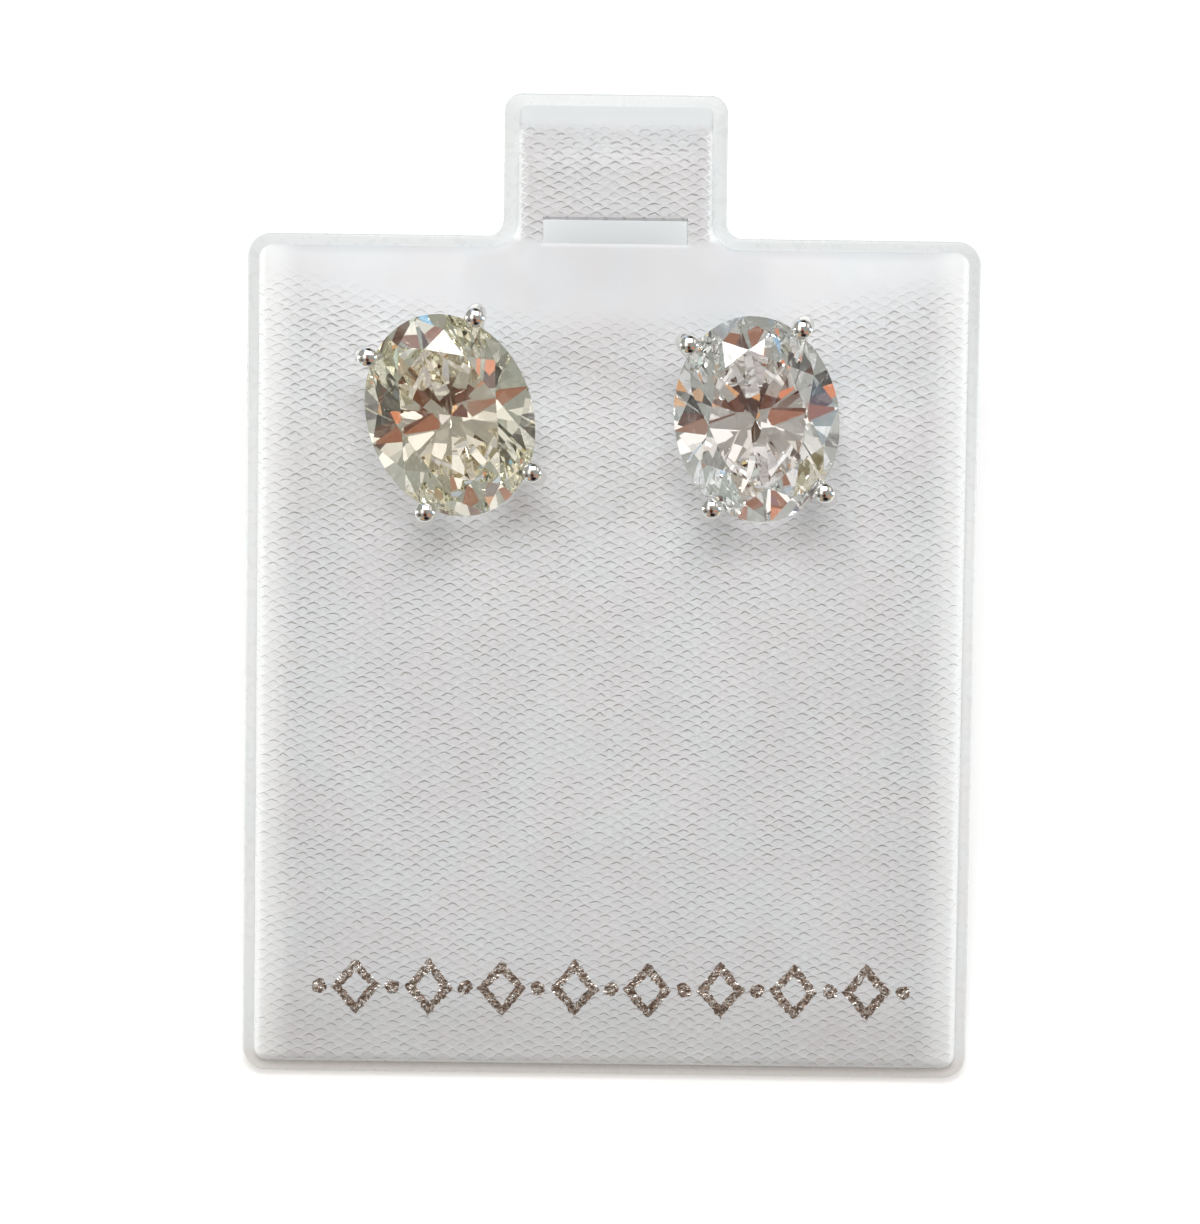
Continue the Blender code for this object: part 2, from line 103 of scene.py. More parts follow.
# Embossed lattice: the width and height of one lozenge, and of the ridges round it
LOZENGE_WIDTH = 0.96 * MM
LOZENGE_HEIGHT = 0.495 * MM
CELLS_PER_LOZENGE = 4
FINE_GRID_WIDTH = 0.9 * MM
RIDGE_SPREAD = 0.14
PRESSED = "place_on_lattice"
RIDGE_HEIGHT = 0.027 * MM
ARCH_HEIGHT = 38.0 * MM
ARCH_RISE = 2.6 * MM
ARCH_FADE = (-1.4 * MM, 0.9 * MM)
TAB_EMBOSS_START = (41.8 * MM, 42.5 * MM)
TAB_EMBOSS_END = (48.3 * MM, 47.3 * MM)
EMBOSS_EDGE = (0.02 * MM, 0.45 * MM)
EMBOSS_STUD = (1.5 * MM, 2.6 * MM)
SHIFT_EDGE = (0.1 * MM, 1.2 * MM)
SHIFT_SLOT = (0.0, 0.9 * MM)
STAMP_TOP = 11.1 * MM
STAMP_FADE = 0.3 * MM
STAMP_DEPTH = 0.02 * MM
STAMP_FLATTENING = 0.12

# Creases of the emboss: across them in shares of a lozenge, their depth, and the colour of the shade
# painted into them and in dabs
CREASE_PEAK = 0.10
CREASE_END = 0.27
CREASE_ROUNDING = 0.34
CREASE_FULL = 0.38
CREASE_LENGTH = 0.86
CREASE_FRAY = 0.15 * MM
CREASE_DEPTH = 0.035 * MM
CREASE_SHADE = 0.75
CREASE_FRAY_SIZE = 0.34 * MM
CREASE_PATCH_SIZE = 0.75 * MM
RIDGE_RELIEF = 0.2
DAB_SIZE = 0.22 * MM
DAB_STRETCH = (1.0, 1.8, 1.0)
DAB_SHADE = 0.16
PAINTED_SHADE_COLOUR = (0.40, 0.375, 0.37)

# Painted highlights on the vinyl, from none to full, by the distance from the card's middle or its bottom
# edge
PAINTED_HIGHLIGHT_COLOUR = (0.95, 0.965, 0.97)
WHITE_SIDE = (PAD_SIDE - 1.35 * MM, PAD_SIDE - 0.5 * MM)
WHITE_TAB_SIDE = (PAD_TAB_SIDE - 0.7 * MM, PAD_TAB_SIDE - 0.2 * MM)
WHITE_TAB_START = (41.9 * MM, 42.4 * MM)
WHITE_TAB_END = (48.0 * MM, 47.3 * MM)
WHITE_FOOT = (4.2 * MM, 1.4 * MM)
WHITE_FOOT_SHARE = 0.32
WHITE_PATCH_SIZE = 0.8 * MM
HIGHLIGHT_CREASE_FADE = 0.7
BAND = (PAD_SIDE - 0.36 * MM, PAD_SIDE - 0.10 * MM)
BAND_SHARE = 0.35
BAND_TAIL = (PAD_SIDE - 2.3 * MM, PAD_SIDE - 0.4 * MM)
BAND_TAIL_SHARE = 0.65
BAND_START = (0.5 * MM, 1.1 * MM)
TAB_BAND = (PAD_TAB_SIDE - 0.14 * MM, PAD_TAB_SIDE + 0.02 * MM)
BAND_RIDGE_RAGS = 0.16 * MM
BAND_RAGS = 0.2 * MM
BAND_RAG_SIZE = 0.3 * MM

# Vinyl: its colours and where painted shade darkens them up the card, its gloss and its grain
PAD_LIGHT = (0.75, 0.765, 0.785)
PAD_DARK = (0.72, 0.73, 0.75)
# Painted shade: the pad greys towards its foot and over the tab's emboss
PAD_GREYING = 0.17
PAD_GREY_FOOT = (9.5 * MM, 0.5 * MM)
PAD_SHADED_TOP = (47.6 * MM, 48.4 * MM)
PAD_GLOSS = 0.28
PAD_ROUGHNESS = 0.34
PAD_GRAIN = 0.006 * MM
BORDER_LIGHT = (0.85, 0.87, 0.875)
BORDER_DARK = (0.82, 0.845, 0.855)
# Painted shade: the border darkens towards its top and along its foot
BORDER_TOP_SHADE = (0.72, 0.745, 0.755)
BORDER_TOP_RISE = (24.0 * MM, 42.0 * MM)
BORDER_FOOT_SHADE = (0.81, 0.79, 0.775)
BORDER_FOOT_RISE = (1.5 * MM, 0.6 * MM)
BORDER_ROUGHNESS = 0.30
BORDER_GRAIN = 0.004 * MM
CLOUD_SIZE = 7.0 * MM
BLUSH_SIZE = 2.6 * MM
BLUSH_TINTS = ((1.0, 0.985, 0.99), (0.985, 0.995, 1.0))
GLOSS_SIZE = 0.5 * MM
GLOSS_CHANGE = 0.06
GRAIN_SIZE = 0.11 * MM

# Dents that the studs press into the pad
DENT_DEPTH = 0.38 * MM
DENT_RADIUS = 3.0 * MM
PUCKER_HEIGHT = 0.03 * MM
PUCKER_RADIUS = 4.8 * MM
PUCKER_WIDTH = 1.8 * MM
PUCKER_COUNT = 7
PUCKER_START = 1.1

# Foil border: outlined lozenges with a dot between each two
FOIL_CENTRE = Vector((0.3 * MM, 4.62 * MM))
FOIL_LENGTH = 29.4 * MM
FOIL_HEIGHT = 2.9 * MM
FOIL_STROKE = 0.42 * MM
FOIL_LOZENGES = 8
FOIL_DOT_RADIUS = 0.36 * MM
FOIL_LIFT = 0.014 * MM
FOIL_THICKNESS = 0.03 * MM
FOIL_WOBBLE = 0.045 * MM
FOIL_CRINKLE = 0.012 * MM
FOIL_DOT_GAP = 0.25 * MM
FOIL_LIGHT = (0.80, 0.77, 0.74)
FOIL_DARK = (0.30, 0.24, 0.20)
FOIL_TINT_SIZE = 0.22 * MM
FOIL_ROUGHNESS = (0.16, 0.34)
FOIL_DIMPLE_SIZE = 0.27 * MM
FOIL_DIMPLE_DEPTH = 0.11 * MM

# Studs: the stone's seat and the silver round it, as in the model
STONE_WIDTH = 8.0 * MM
STONE_LENGTH = 10.0 * MM
GIRDLE_HEIGHT = 0.3 * MM
CROWN_HEIGHT = 1.15 * MM
PAVILION_DEPTH = 3.4 * MM
STONE_CLEARANCE = 0.1 * MM
STONE_GAP = 0.15 * MM
STONE_IOR = 2.17
STONE_TINTS = {"left": (0.98, 0.975, 0.945), "right": (0.988, 0.988, 0.985)}
GIRDLE_TINT = (0.93, 0.93, 0.92)
GIRDLE_ROUGHNESS = 0.35
GIRDLE_SLOPE = 0.2
SEAT_HEIGHT = 1.75 * MM
BASE_RADIUS = 1.3 * MM
BASE_TOP_RADIUS = 0.92 * BASE_RADIUS
BASE_HEIGHT = 0.6 * MM
POST_DROP = 7.75 * MM
POST_RADIUS = 0.42 * MM
POST_TIP_RADIUS = 0.28 * MM
PRONG_RADIUS = 0.48 * MM
PRONG_TIP_RADIUS = 0.50 * MM
PRONG_TIP_FLATNESS = 0.52
PRONG_TIP_LIFT = 0.06 * MM
PRONG_ANGLE = math.radians(49.8)
PRONG_OUTSIDE_GIRDLE = 0.25 * MM
PRONG_TIP_RISE = 0.35 * MM
GALLERY_RADIUS = 0.32 * MM
PRONG_BEND = (
    # reach, rise
    (0.12, 0.06),
    (0.48, 0.34),
    (0.84, 0.60),
    (1.05, 0.82),
    (1.00, 1.00),
)
GALLERY_KNOT_INDEX = 2
SILVER_LIGHT = (0.86, 0.85, 0.83)
SILVER_DARK = (0.76, 0.75, 0.73)
SILVER_TINT_SIZE = 1.2 * MM
SILVER_ROUGHNESS = (0.05, 0.14)
SILVER_MARK_SIZE = 0.25 * MM
SILVER_MARK_DEPTH = 0.004 * MM

# Ear nuts, as in the model
NUT_GAP = 0.3 * MM
NUT_STRIP = 0.3 * MM
NUT_LENGTH = 3.6 * MM
NUT_SCROLL_RADIUS = 1.05 * MM
NUT_SCROLL_TURN = math.radians(290.0)
NUT_GRIP_CLEARANCE = 0.1 * MM
NUT_EASE = 0.04 * MM

# Floor: its glow, and the shades on it that the card hides from the camera
FLOOR_WHITE = (0.96, 0.96, 0.96)
FLOOR_SHADED = (0.845, 0.85, 0.855)
FLOOR_HALF_SIDE = 1.5
FLOOR_GLOW = 0.21
FLOOR_GLOSS = 0.1
FLOOR_SHADES = (
    # height up the card, half width and length, softness
    (SLOT_CENTRE, (5.6 * MM, 3.6 * MM), 0.4),
    (28.0 * MM, (16.0 * MM, 15.5 * MM), 0.9),
)

# Sky: its colour, and soft ovals in it by a direction's parts across and up the card
SKY = (0.36, 0.37, 0.34)
SKY_PATCHES = (
    # centre across and up, half width and height, softness, colour
    ((0.0, 0.54), (0.33, 0.19), 0.3, (0.95, 0.92, 0.87)),
    ((0.12, 0.84), (0.30, 0.18), 0.4, (0.03, 0.02, 0.01)),
    ((-0.34, 0.88), (0.18, 0.16), 0.4, (0.60, 0.75, 0.95)),
    ((0.62, 0.42), (0.18, 0.30), 0.4, (1.05, 1.00, 1.00)),
    ((-0.32, 0.12), (0.20, 0.28), 0.3, (1.30, 1.25, 1.20)),
    ((0.14, -0.64), (0.38, 0.26), 0.4, (0.02, 0.01, 0.01)),
    ((0.0, -0.27), (0.21, 0.22), 0.3, (0.10, 0.025, 0.012)),
    ((-0.62, -0.30), (0.18, 0.18), 0.4, (0.12, 0.04, 0.04)),
    ((0.44, -0.30), (0.18, 0.13), 0.3, (0.85, 0.27, 0.12)),
    ((0.90, 0.02), (0.16, 0.18), 0.4, (0.35, 0.75, 1.25)),
    ((-0.62, -0.62), (0.18, 0.18), 0.4, (0.70, 0.85, 0.80)),
    ((-0.30, -0.64), (0.17, 0.16), 0.4, (0.75, 0.38, 0.16)),
    ((0.85, -0.55), (0.16, 0.22), 0.4, (1.00, 0.80, 0.35)),
    ((0.0, 0.03), (0.14, 0.11), 0.4, (0.34, 0.12, 0.06)),
)

# Softboxes, in card coordinates
SOFTBOXES = (
    # name, place, aim, size, power in watts, seen through the stones
    ("key_light", (0.0, 0.112, 0.125), (0.0, 0.025, 0.0), (0.10, 0.07), 0.122, False),
    ("left_strip", (-0.30, 0.03, 0.055), (0.0, 0.025, 0.0), (0.03, 0.24), 0.36, True),
    ("right_strip", (0.30, 0.03, 0.055), (0.0, 0.025, 0.0), (0.03, 0.24), 0.30, True),
)

# Camera, in card coordinates, for an image of 1200 by 1224
CAMERA_PLACE = (-0.848 * MM, 31.69 * MM, 150.0 * MM)
CAMERA_TILT = (-0.0544, -0.0016, 0.0131)
CAMERA_SENSOR = 36.0
IMAGE_LONG_SIDE = 1224
FOCAL_PIXELS = 2964.87
CAMERA_CLIP = (0.01, 10.0)

# Light paths
STONE_BOUNCES = 24
DIFFUSE_BOUNCES = 4


def card_matrix():
    """Card coordinates to the row frame, from the mount on the card's flat back."""
    mount = next(m for m in frame["record"]["mounts"] if m["name"] == "card_back")
    axis = Vector(mount["axis"])
    point = Vector(mount["pos_m"])
    lean = math.atan2(axis.y, -axis.z)
    up_the_card = point.z / math.sin(lean)
    shift = point.y - up_the_card * math.cos(lean)
    return Matrix.Translation((0.0, shift, 0.0)) @ Matrix.Rotation(lean, 4, "X"), lean


CARD, LEAN = card_matrix()


def stud_place(stone):
    """The stud's place on the card and its turn on its post, from its stone's corners."""
    corners = [CARD.inverted() @ v.co for v in frame["nodes"][stone].data.vertices]
    low = Vector((min(c.x for c in corners), min(c.y for c in corners)))
    high = Vector((max(c.x for c in corners), max(c.y for c in corners)))
    centre = (low + high) / 2
    tip = max((c.to_2d() - centre for c in corners), key=lambda away: (round(away.length, 6), away.y))
    tip = tip if tip.y > 0 else -tip
    turn = math.atan2(-tip.x, tip.y)
    return Matrix.Translation((*centre, 0.0)) @ Matrix.Rotation(turn, 4, "Z")


STUDS = {side: stud_place(f"{side}_stone") for side in ("left", "right")}


# Shader node helpers


def new_node(kind, *beside):
    """A new node in the tree of the first socket among the values."""
    tree = next(value.id_data for value in beside if isinstance(value, bpy.types.NodeSocket))
    return tree.nodes.new(f"ShaderNode{kind}")


def plug(socket, value):
    """Links an output to the socket, or sets the socket's own value."""
    if isinstance(value, bpy.types.NodeSocket):
        socket.id_data.links.new(value, socket)
    else:
        socket.default_value = value


def calc(operation, *values):
    node = new_node("Math", *values)
    node.operation = operation
    for socket, value in zip(node.inputs, values):
        plug(socket, value)
    return node.outputs[0]


def times(first, second):
    return calc("MULTIPLY", first, second)


def vector_calc(operation, vector, other=None):
    """The value that an operation on one or two vectors gives."""
    node = new_node("VectorMath", vector)
    node.operation = operation
    plug(node.inputs[0], vector)
    if other is not None:
        plug(node.inputs[1], other)
    return node.outputs["Value"]


def across_and_up(place):
    """The X and Y of a place in card coordinates."""
    node = new_node("SeparateXYZ", place)
    plug(node.inputs[0], place)
    return node.outputs["X"], node.outputs["Y"]


def span(value, low, high, to_low=0.0, to_high=1.0):
    """The value between low and high, softened, as a share from to_low to to_high."""
    node = new_node("MapRange", value)
    node.interpolation_type = "SMOOTHSTEP"
    names = ("Value", "From Min", "From Max", "To Min", "To Max")
    for name, number in zip(names, (value, low, high, to_low, to_high)):
        plug(node.inputs[name], number)
    return node.outputs[0]


def blend_colours(share, first, second, mode="MIX"):
    node = new_node("Mix", share, first, second)
    node.data_type = "RGBA"
    node.blend_type = mode
    plug(node.inputs[0], share)
    plug(node.inputs[6], (*first, 1.0) if isinstance(first, tuple) else first)
    plug(node.inputs[7], (*second, 1.0) if isinstance(second, tuple) else second)
    return node.outputs[2]


def moved(place, **changes):
    """The place after a mapping with those changes."""
    node = new_node("Mapping", place)
    plug(node.inputs["Vector"], place)
    for name, value in changes.items():
        plug(node.inputs[name.title()], value)
    return node.outputs[0]


def noise(place, feature, detail=3.0, roughness=0.5, stretch=(1.0, 1.0, 1.0)):
    """Noise with features of about that size in metres."""
    node = new_node("TexNoise", place)
    plug(node.inputs["Vector"], moved(place, scale=stretch))
    plug(node.inputs["Scale"], 1.0 / feature)
    plug(node.inputs["Detail"], detail)
    plug(node.inputs["Roughness"], roughness)
    return node.outputs["Fac"]


def bump(height, distance, below=None):
    node = new_node("Bump", height)
    plug(node.inputs["Strength"], 1.0)
    plug(node.inputs["Distance"], distance)
    plug(node.inputs["Height"], height)
    if below is not None:
        plug(node.inputs["Normal"], below)
    return node.outputs[0]


def new_material(name, roughness=0.5, metallic=0.0):
    """A material, the inputs of its shader, and the place in the piece's own coordinates."""
    material = bpy.data.materials.new(name)
    material.use_nodes = True
    nodes = material.node_tree.nodes
    shader = nodes["Principled BSDF"].inputs
    plug(shader["Roughness"], roughness)
    plug(shader["Metallic"], metallic)
    return material, shader, nodes.new("ShaderNodeTexCoord").outputs["Object"]


# Materials


def vinyl_material(name, light, dark, roughness, grain):
    """Soft white vinyl: faint cloudy tints, a satin gloss that varies and a fine grain."""
    material, shader, place = new_material(name)
    clouds = noise(place, CLOUD_SIZE, detail=2.0)
    colour = blend_colours(span(clouds, 0.35, 0.65), light, dark)
    blush = noise(place, BLUSH_SIZE, detail=1.0)
    tint = blend_colours(span(blush, 0.4, 0.6), *BLUSH_TINTS)
    colour = blend_colours(1.0, colour, tint, "MULTIPLY")
    plug(shader["Base Color"], colour)
    gloss = noise(place, GLOSS_SIZE, detail=2.0)
    rough = span(gloss, 0.3, 0.7, roughness - GLOSS_CHANGE, roughness + GLOSS_CHANGE)
    plug(shader["Roughness"], rough)
    fine = noise(place, GRAIN_SIZE, detail=3.0, roughness=0.6)
    plug(shader["Normal"], bump(fine, grain))
    return material, shader, place, colour


def crease_and_ridges(place):
    """The lattice's creases and ridges at a point, from where the point was pressed on it.

    A crease runs under the two upper sides of each lozenge and is deepest at its top corner.
    """
    pressed = new_node("Attribute", place)
    pressed.attribute_name = PRESSED
    pressed_x, pressed_y = across_and_up(pressed.outputs["Vector"])
    fray = noise(place, CREASE_FRAY_SIZE, 2.0)
    frayed = calc("MULTIPLY_ADD", fray, CREASE_FRAY, -CREASE_FRAY / 2)
    across = calc("DIVIDE", pressed_x, LOZENGE_WIDTH)
    along = calc("DIVIDE", calc("ADD", pressed_y, frayed), LOZENGE_HEIGHT)
    from_right = calc("SUBTRACT", 1.0, calc("FRACT", calc("ADD", across, along)))
    from_left = calc("FRACT", calc("SUBTRACT", across, along))
    near = calc("SMOOTH_MIN", from_right, from_left, CREASE_ROUNDING)
    far = calc("MAXIMUM", from_right, from_left)
    crease = times(span(near, 0.0, CREASE_PEAK), span(near, CREASE_END, CREASE_PEAK))
    crease = times(crease, span(far, CREASE_LENGTH, CREASE_FULL))
    uneven = noise(place, CREASE_PATCH_SIZE, detail=3.0, roughness=0.6)
    crease = times(crease, span(uneven, 0.34, 0.62, 0.2, 1.0))
    ridges = [
        span(calc("ABSOLUTE", calc("SUBTRACT", 0.5, edge)), 0.5 - RIDGE_SPREAD, 0.5)
        for edge in (from_right, from_left)
    ]
    return crease, calc("MAXIMUM", *ridges)


def emboss_strength(x, y):
    """How strong the emboss is, as emboss_share has it for the mesh."""
    reach = calc("DIVIDE", x, PAD_SIDE)
    arch = calc("MULTIPLY_ADD", times(reach, reach), ARCH_RISE, ARCH_HEIGHT)
    below_arch = span(calc("SUBTRACT", y, arch), *reversed(ARCH_FADE))
    on_tab = times(span(y, *TAB_EMBOSS_START), span(y, *TAB_EMBOSS_END))
    stamped = times(span(y, STAMP_TOP + STAMP_FADE, STAMP_TOP), STAMP_FLATTENING)
    strong = calc("MAXIMUM", below_arch, on_tab)
    return times(strong, calc("SUBTRACT", 1.0, stamped)), on_tab


def painted_highlights(place, x, y, ridges):
    """Where highlights are painted on the vinyl: on ridges near the pad's edges, and in a band by its
    walls.

    The ridges given are the lattice's, as strong as the emboss is.
    """
    away = calc("ABSOLUTE", x)
    beside_slot = times(span(y, *WHITE_TAB_START), span(y, *WHITE_TAB_END))
    near_tab_side = times(span(away, *WHITE_TAB_SIDE), beside_slot)
    near_side = calc("MAXIMUM", span(away, *WHITE_SIDE), near_tab_side)
    near_foot = span(y, *WHITE_FOOT, 0.0, WHITE_FOOT_SHARE)
    patchy = span(noise(place, WHITE_PATCH_SIZE, detail=2.0), 0.38, 0.58, 0.1, 1.0)
    highlight_zone = times(calc("MAXIMUM", near_side, near_foot), patchy)

    ragged = calc("MULTIPLY_ADD", ridges, BAND_RIDGE_RAGS, away)
    ragged = calc("MULTIPLY_ADD", noise(place, BAND_RAG_SIZE, 2.0), BAND_RAGS, ragged)
    tail = span(away, *BAND_TAIL, 0.0, BAND_TAIL_SHARE)
    band = calc("MULTIPLY_ADD", span(ragged, *BAND), BAND_SHARE, tail)
    band = times(band, span(y, *BAND_START))
    tab_band = times(span(ragged, *TAB_BAND), beside_slot)
    return highlight_zone, calc("MAXIMUM", band, tab_band)


def pad_material():
    """The pad's vinyl: painted shade in the emboss's creases, in dabs, towards its foot and on the tab, and
    painted highlights on ridges and in a band by its walls.
    """
    material, shader, place, colour = vinyl_material(
        "embossed_vinyl", PAD_LIGHT, PAD_DARK, PAD_ROUGHNESS, PAD_GRAIN
    )
    x, y = across_and_up(place)
    crease, ridges = crease_and_ridges(place)
    strong, on_tab = emboss_strength(x, y)
    crease = times(crease, strong)
    ridges = times(ridges, strong)
    highlight_zone, band = painted_highlights(place, x, y, ridges)

    # Painted shade towards the pad's foot and over the tab's emboss.
    greyed = calc("MAXIMUM", span(y, *PAD_GREY_FOOT), on_tab)
    colour = blend_colours(times(greyed, PAD_GREYING), colour, PAINTED_SHADE_COLOUR)
    # Darker dabs of painted shade over the emboss.
    dabs = noise(place, DAB_SIZE, detail=1.5, stretch=DAB_STRETCH)
    dabs = times(span(dabs, 0.35, 0.65), strong)
    colour = blend_colours(times(dabs, DAB_SHADE), colour, PAINTED_SHADE_COLOUR)
    # Painted shade in the creases, fainter where highlights are painted.
    crease_kept = calc("SUBTRACT", 1.0, times(highlight_zone, HIGHLIGHT_CREASE_FADE))
    dark = times(crease, crease_kept)
    colour = blend_colours(times(dark, CREASE_SHADE), colour, PAINTED_SHADE_COLOUR)
    # Painted highlights on the ridges near the edges and in a band by the walls.
    white = calc("MAXIMUM", times(ridges, highlight_zone), band)
    colour = blend_colours(white, colour, PAINTED_HIGHLIGHT_COLOUR)
    # Painted shade at the top of the tab, in the border's top colour.
    colour = blend_colours(span(y, *PAD_SHADED_TOP), colour, BORDER_TOP_SHADE)
    plug(shader["Base Color"], colour)
    plug(shader["Specular IOR Level"], PAD_GLOSS)

    relief = calc("MULTIPLY_ADD", ridges, RIDGE_RELIEF, times(dark, -1.0))
    fine = shader["Normal"].links[0].from_socket
    plug(shader["Normal"], bump(relief, CREASE_DEPTH, below=fine))
    return material


def border_material():
    """The welded border's vinyl, greyer with painted shade at the top and along the edge that it stands on.
    """
    material, shader, place, colour = vinyl_material(
        "welded_vinyl", BORDER_LIGHT, BORDER_DARK, BORDER_ROUGHNESS, BORDER_GRAIN
    )
    _, y = across_and_up(place)
    # Painted shade along the foot and towards the top.
    colour = blend_colours(span(y, *BORDER_FOOT_RISE), colour, BORDER_FOOT_SHADE)
    colour = blend_colours(span(y, *BORDER_TOP_RISE), colour, BORDER_TOP_SHADE)
    plug(shader["Base Color"], colour)
    return material


def metal_material(name, size, spread, light, dark):
    """A metal whose tint changes in patches of about the size, over a spread of the noise."""
    material, shader, place = new_material(name, metallic=1.0)
    shade = noise(place, size, detail=2.0)
    colour = blend_colours(span(shade, *spread), light, dark)
    plug(shader["Base Color"], colour)
    return material, shader, place, shade


def silver_material():
    """Polished silver with faint polishing marks."""
    material, shader, place, _ = metal_material(
        "polished_silver", SILVER_TINT_SIZE, (0.3, 0.7), SILVER_LIGHT, SILVER_DARK
    )
    marks = noise(place, SILVER_MARK_SIZE, detail=3.0)
    plug(shader["Roughness"], span(marks, 0.3, 0.7, *SILVER_ROUGHNESS))
    plug(shader["Normal"], bump(marks, SILVER_MARK_DEPTH))
    return material


def foil_material():
    """Hot-stamped silver foil, crinkled by the emboss below it."""
    material, shader, place, shade = metal_material(
        "stamped_foil", FOIL_TINT_SIZE, (0.42, 0.60), FOIL_LIGHT, FOIL_DARK
    )
    plug(shader["Roughness"], span(shade, 0.3, 0.7, *FOIL_ROUGHNESS))
    dimples = noise(place, FOIL_DIMPLE_SIZE, detail=2.0, roughness=0.6)
    plug(shader["Normal"], bump(dimples, FOIL_DIMPLE_DEPTH))
    return material


def stone_material(name, tint):
    """Clear cut crystal. Its girdle, whose faces stand square to the card, is only ground."""
    material = bpy.data.materials.new(name)
    material.use_nodes = True
    nodes = material.node_tree.nodes
    nodes.clear()
    normal = nodes.new("ShaderNodeNewGeometry").outputs["True Normal"]
    out_of_card = CARD.to_3x3() @ Vector((0.0, 0.0, 1.0))
    slope = calc("ABSOLUTE", vector_calc("DOT_PRODUCT", normal, out_of_card))
    mix = nodes.new("ShaderNodeMixShader")
    plug(mix.inputs[0], calc("LESS_THAN", slope, GIRDLE_SLOPE))
    for socket, colour, roughness in (
        (mix.inputs[1], tint, 0.0),
        (mix.inputs[2], GIRDLE_TINT, GIRDLE_ROUGHNESS),
    ):
        glass = nodes.new("ShaderNodeBsdfGlass")
        plug(glass.inputs["Color"], (*colour, 1.0))
        plug(glass.inputs["Roughness"], roughness)
        plug(glass.inputs["IOR"], STONE_IOR)
        plug(socket, glass.outputs[0])
    plug(nodes.new("ShaderNodeOutputMaterial").inputs["Surface"], mix.outputs[0])
    return material


# Pieces


def new_object(name, data):
    obj = bpy.data.objects.new(name, data)
    bpy.context.scene.collection.objects.link(obj)
    return obj


def add_piece(name, mesh, material, place):
    piece = new_object(name, mesh)
    piece.matrix_world = place
    mesh.materials.clear()
    mesh.materials.append(material)
    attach(piece, "root")
    return piece


def mesh_from(shape, name):
    mesh = bpy.data.meshes.new(name)
    shape.to_mesh(mesh)
    shape.free()
    return mesh


def join_rings(shape, rings):
    """Bands of faces between neighbouring closed rings of corners."""
    for lower, upper in zip(rings, rings[1:]):
        for i in range(len(lower)):
            j = (i + 1) % len(lower)
            shape.faces.new((lower[i], lower[j], upper[j], upper[i]))


def shade_round(mesh, degrees):
    mesh.shade_smooth()
    mesh.set_sharp_from_angle(angle=math.radians(degrees))


def realised(obj):
    """The object's evaluated mesh, and the object removed."""
    bpy.context.view_layer.update()
    graph = bpy.context.evaluated_depsgraph_get()
    mesh = bpy.data.meshes.new_from_object(obj.evaluated_get(graph))
    mesh.name = obj.name
    bpy.data.objects.remove(obj, do_unlink=True)
    return mesh


def combine(mesh, tools, operation):
    """The mesh after exact Booleans with the tools' meshes."""
    piece = new_object("combined", mesh)
    guides = [new_object(f"tool_{i}", tool) for i, tool in enumerate(tools)]
    for guide in guides:
        modifier = piece.modifiers.new(guide.name, "BOOLEAN")
        modifier.operation = operation
        modifier.object = guide
    result = realised(piece)
    for guide in guides:
        bpy.data.objects.remove(guide, do_unlink=True)
    return result


def round_bar(low_radius, high_radius, low, high, sides):
    shape = bmesh.new()
    bmesh.ops.create_cone(
        shape,
        cap_ends=True,
        segments=sides,
        radius1=low_radius,
        radius2=high_radius,
        depth=high - low,
        matrix=Matrix.Translation((0, 0, (high + low) / 2)),
    )
    return mesh_from(shape, "bar")


# The card's base: the welded border and the flat back


def rounded_corner(corner, arriving, leaving, radius, steps=10):
    centre = corner - arriving * radius + leaving * radius
    angles = [math.pi / 2 * step / steps for step in range(steps + 1)]
    return [centre + radius * (arriving * math.sin(a) - leaving * math.cos(a)) for a in angles]


def card_outline(inset):
    side = BODY_WIDTH / 2 - inset
    tab_side = TAB_WIDTH / 2 - inset
    shoulder = BODY_HEIGHT - inset
    top = CARD_LENGTH - inset
    right, up, left, down = Vector((1, 0)), Vector((0, 1)), Vector((-1, 0)), Vector((0, -1))
    corners = (
        (Vector((-side, inset)), down, right, BODY_CORNER_RADIUS - inset),
        (Vector((side, inset)), right, up, BODY_CORNER_RADIUS - inset),
        (Vector((side, shoulder)), up, left, BODY_CORNER_RADIUS - inset),
        (Vector((tab_side, shoulder)), left, up, TAB_FILLET_RADIUS + inset),
        (Vector((tab_side, top)), up, left, TAB_CORNER_RADIUS - inset),
        (Vector((-tab_side, top)), left, down, TAB_CORNER_RADIUS - inset),
        (Vector((-tab_side, shoulder)), down, left, TAB_FILLET_RADIUS + inset),
        (Vector((-side, shoulder)), left, down, BODY_CORNER_RADIUS - inset),
    )
    return [point for corner in corners for point in rounded_corner(*corner)]


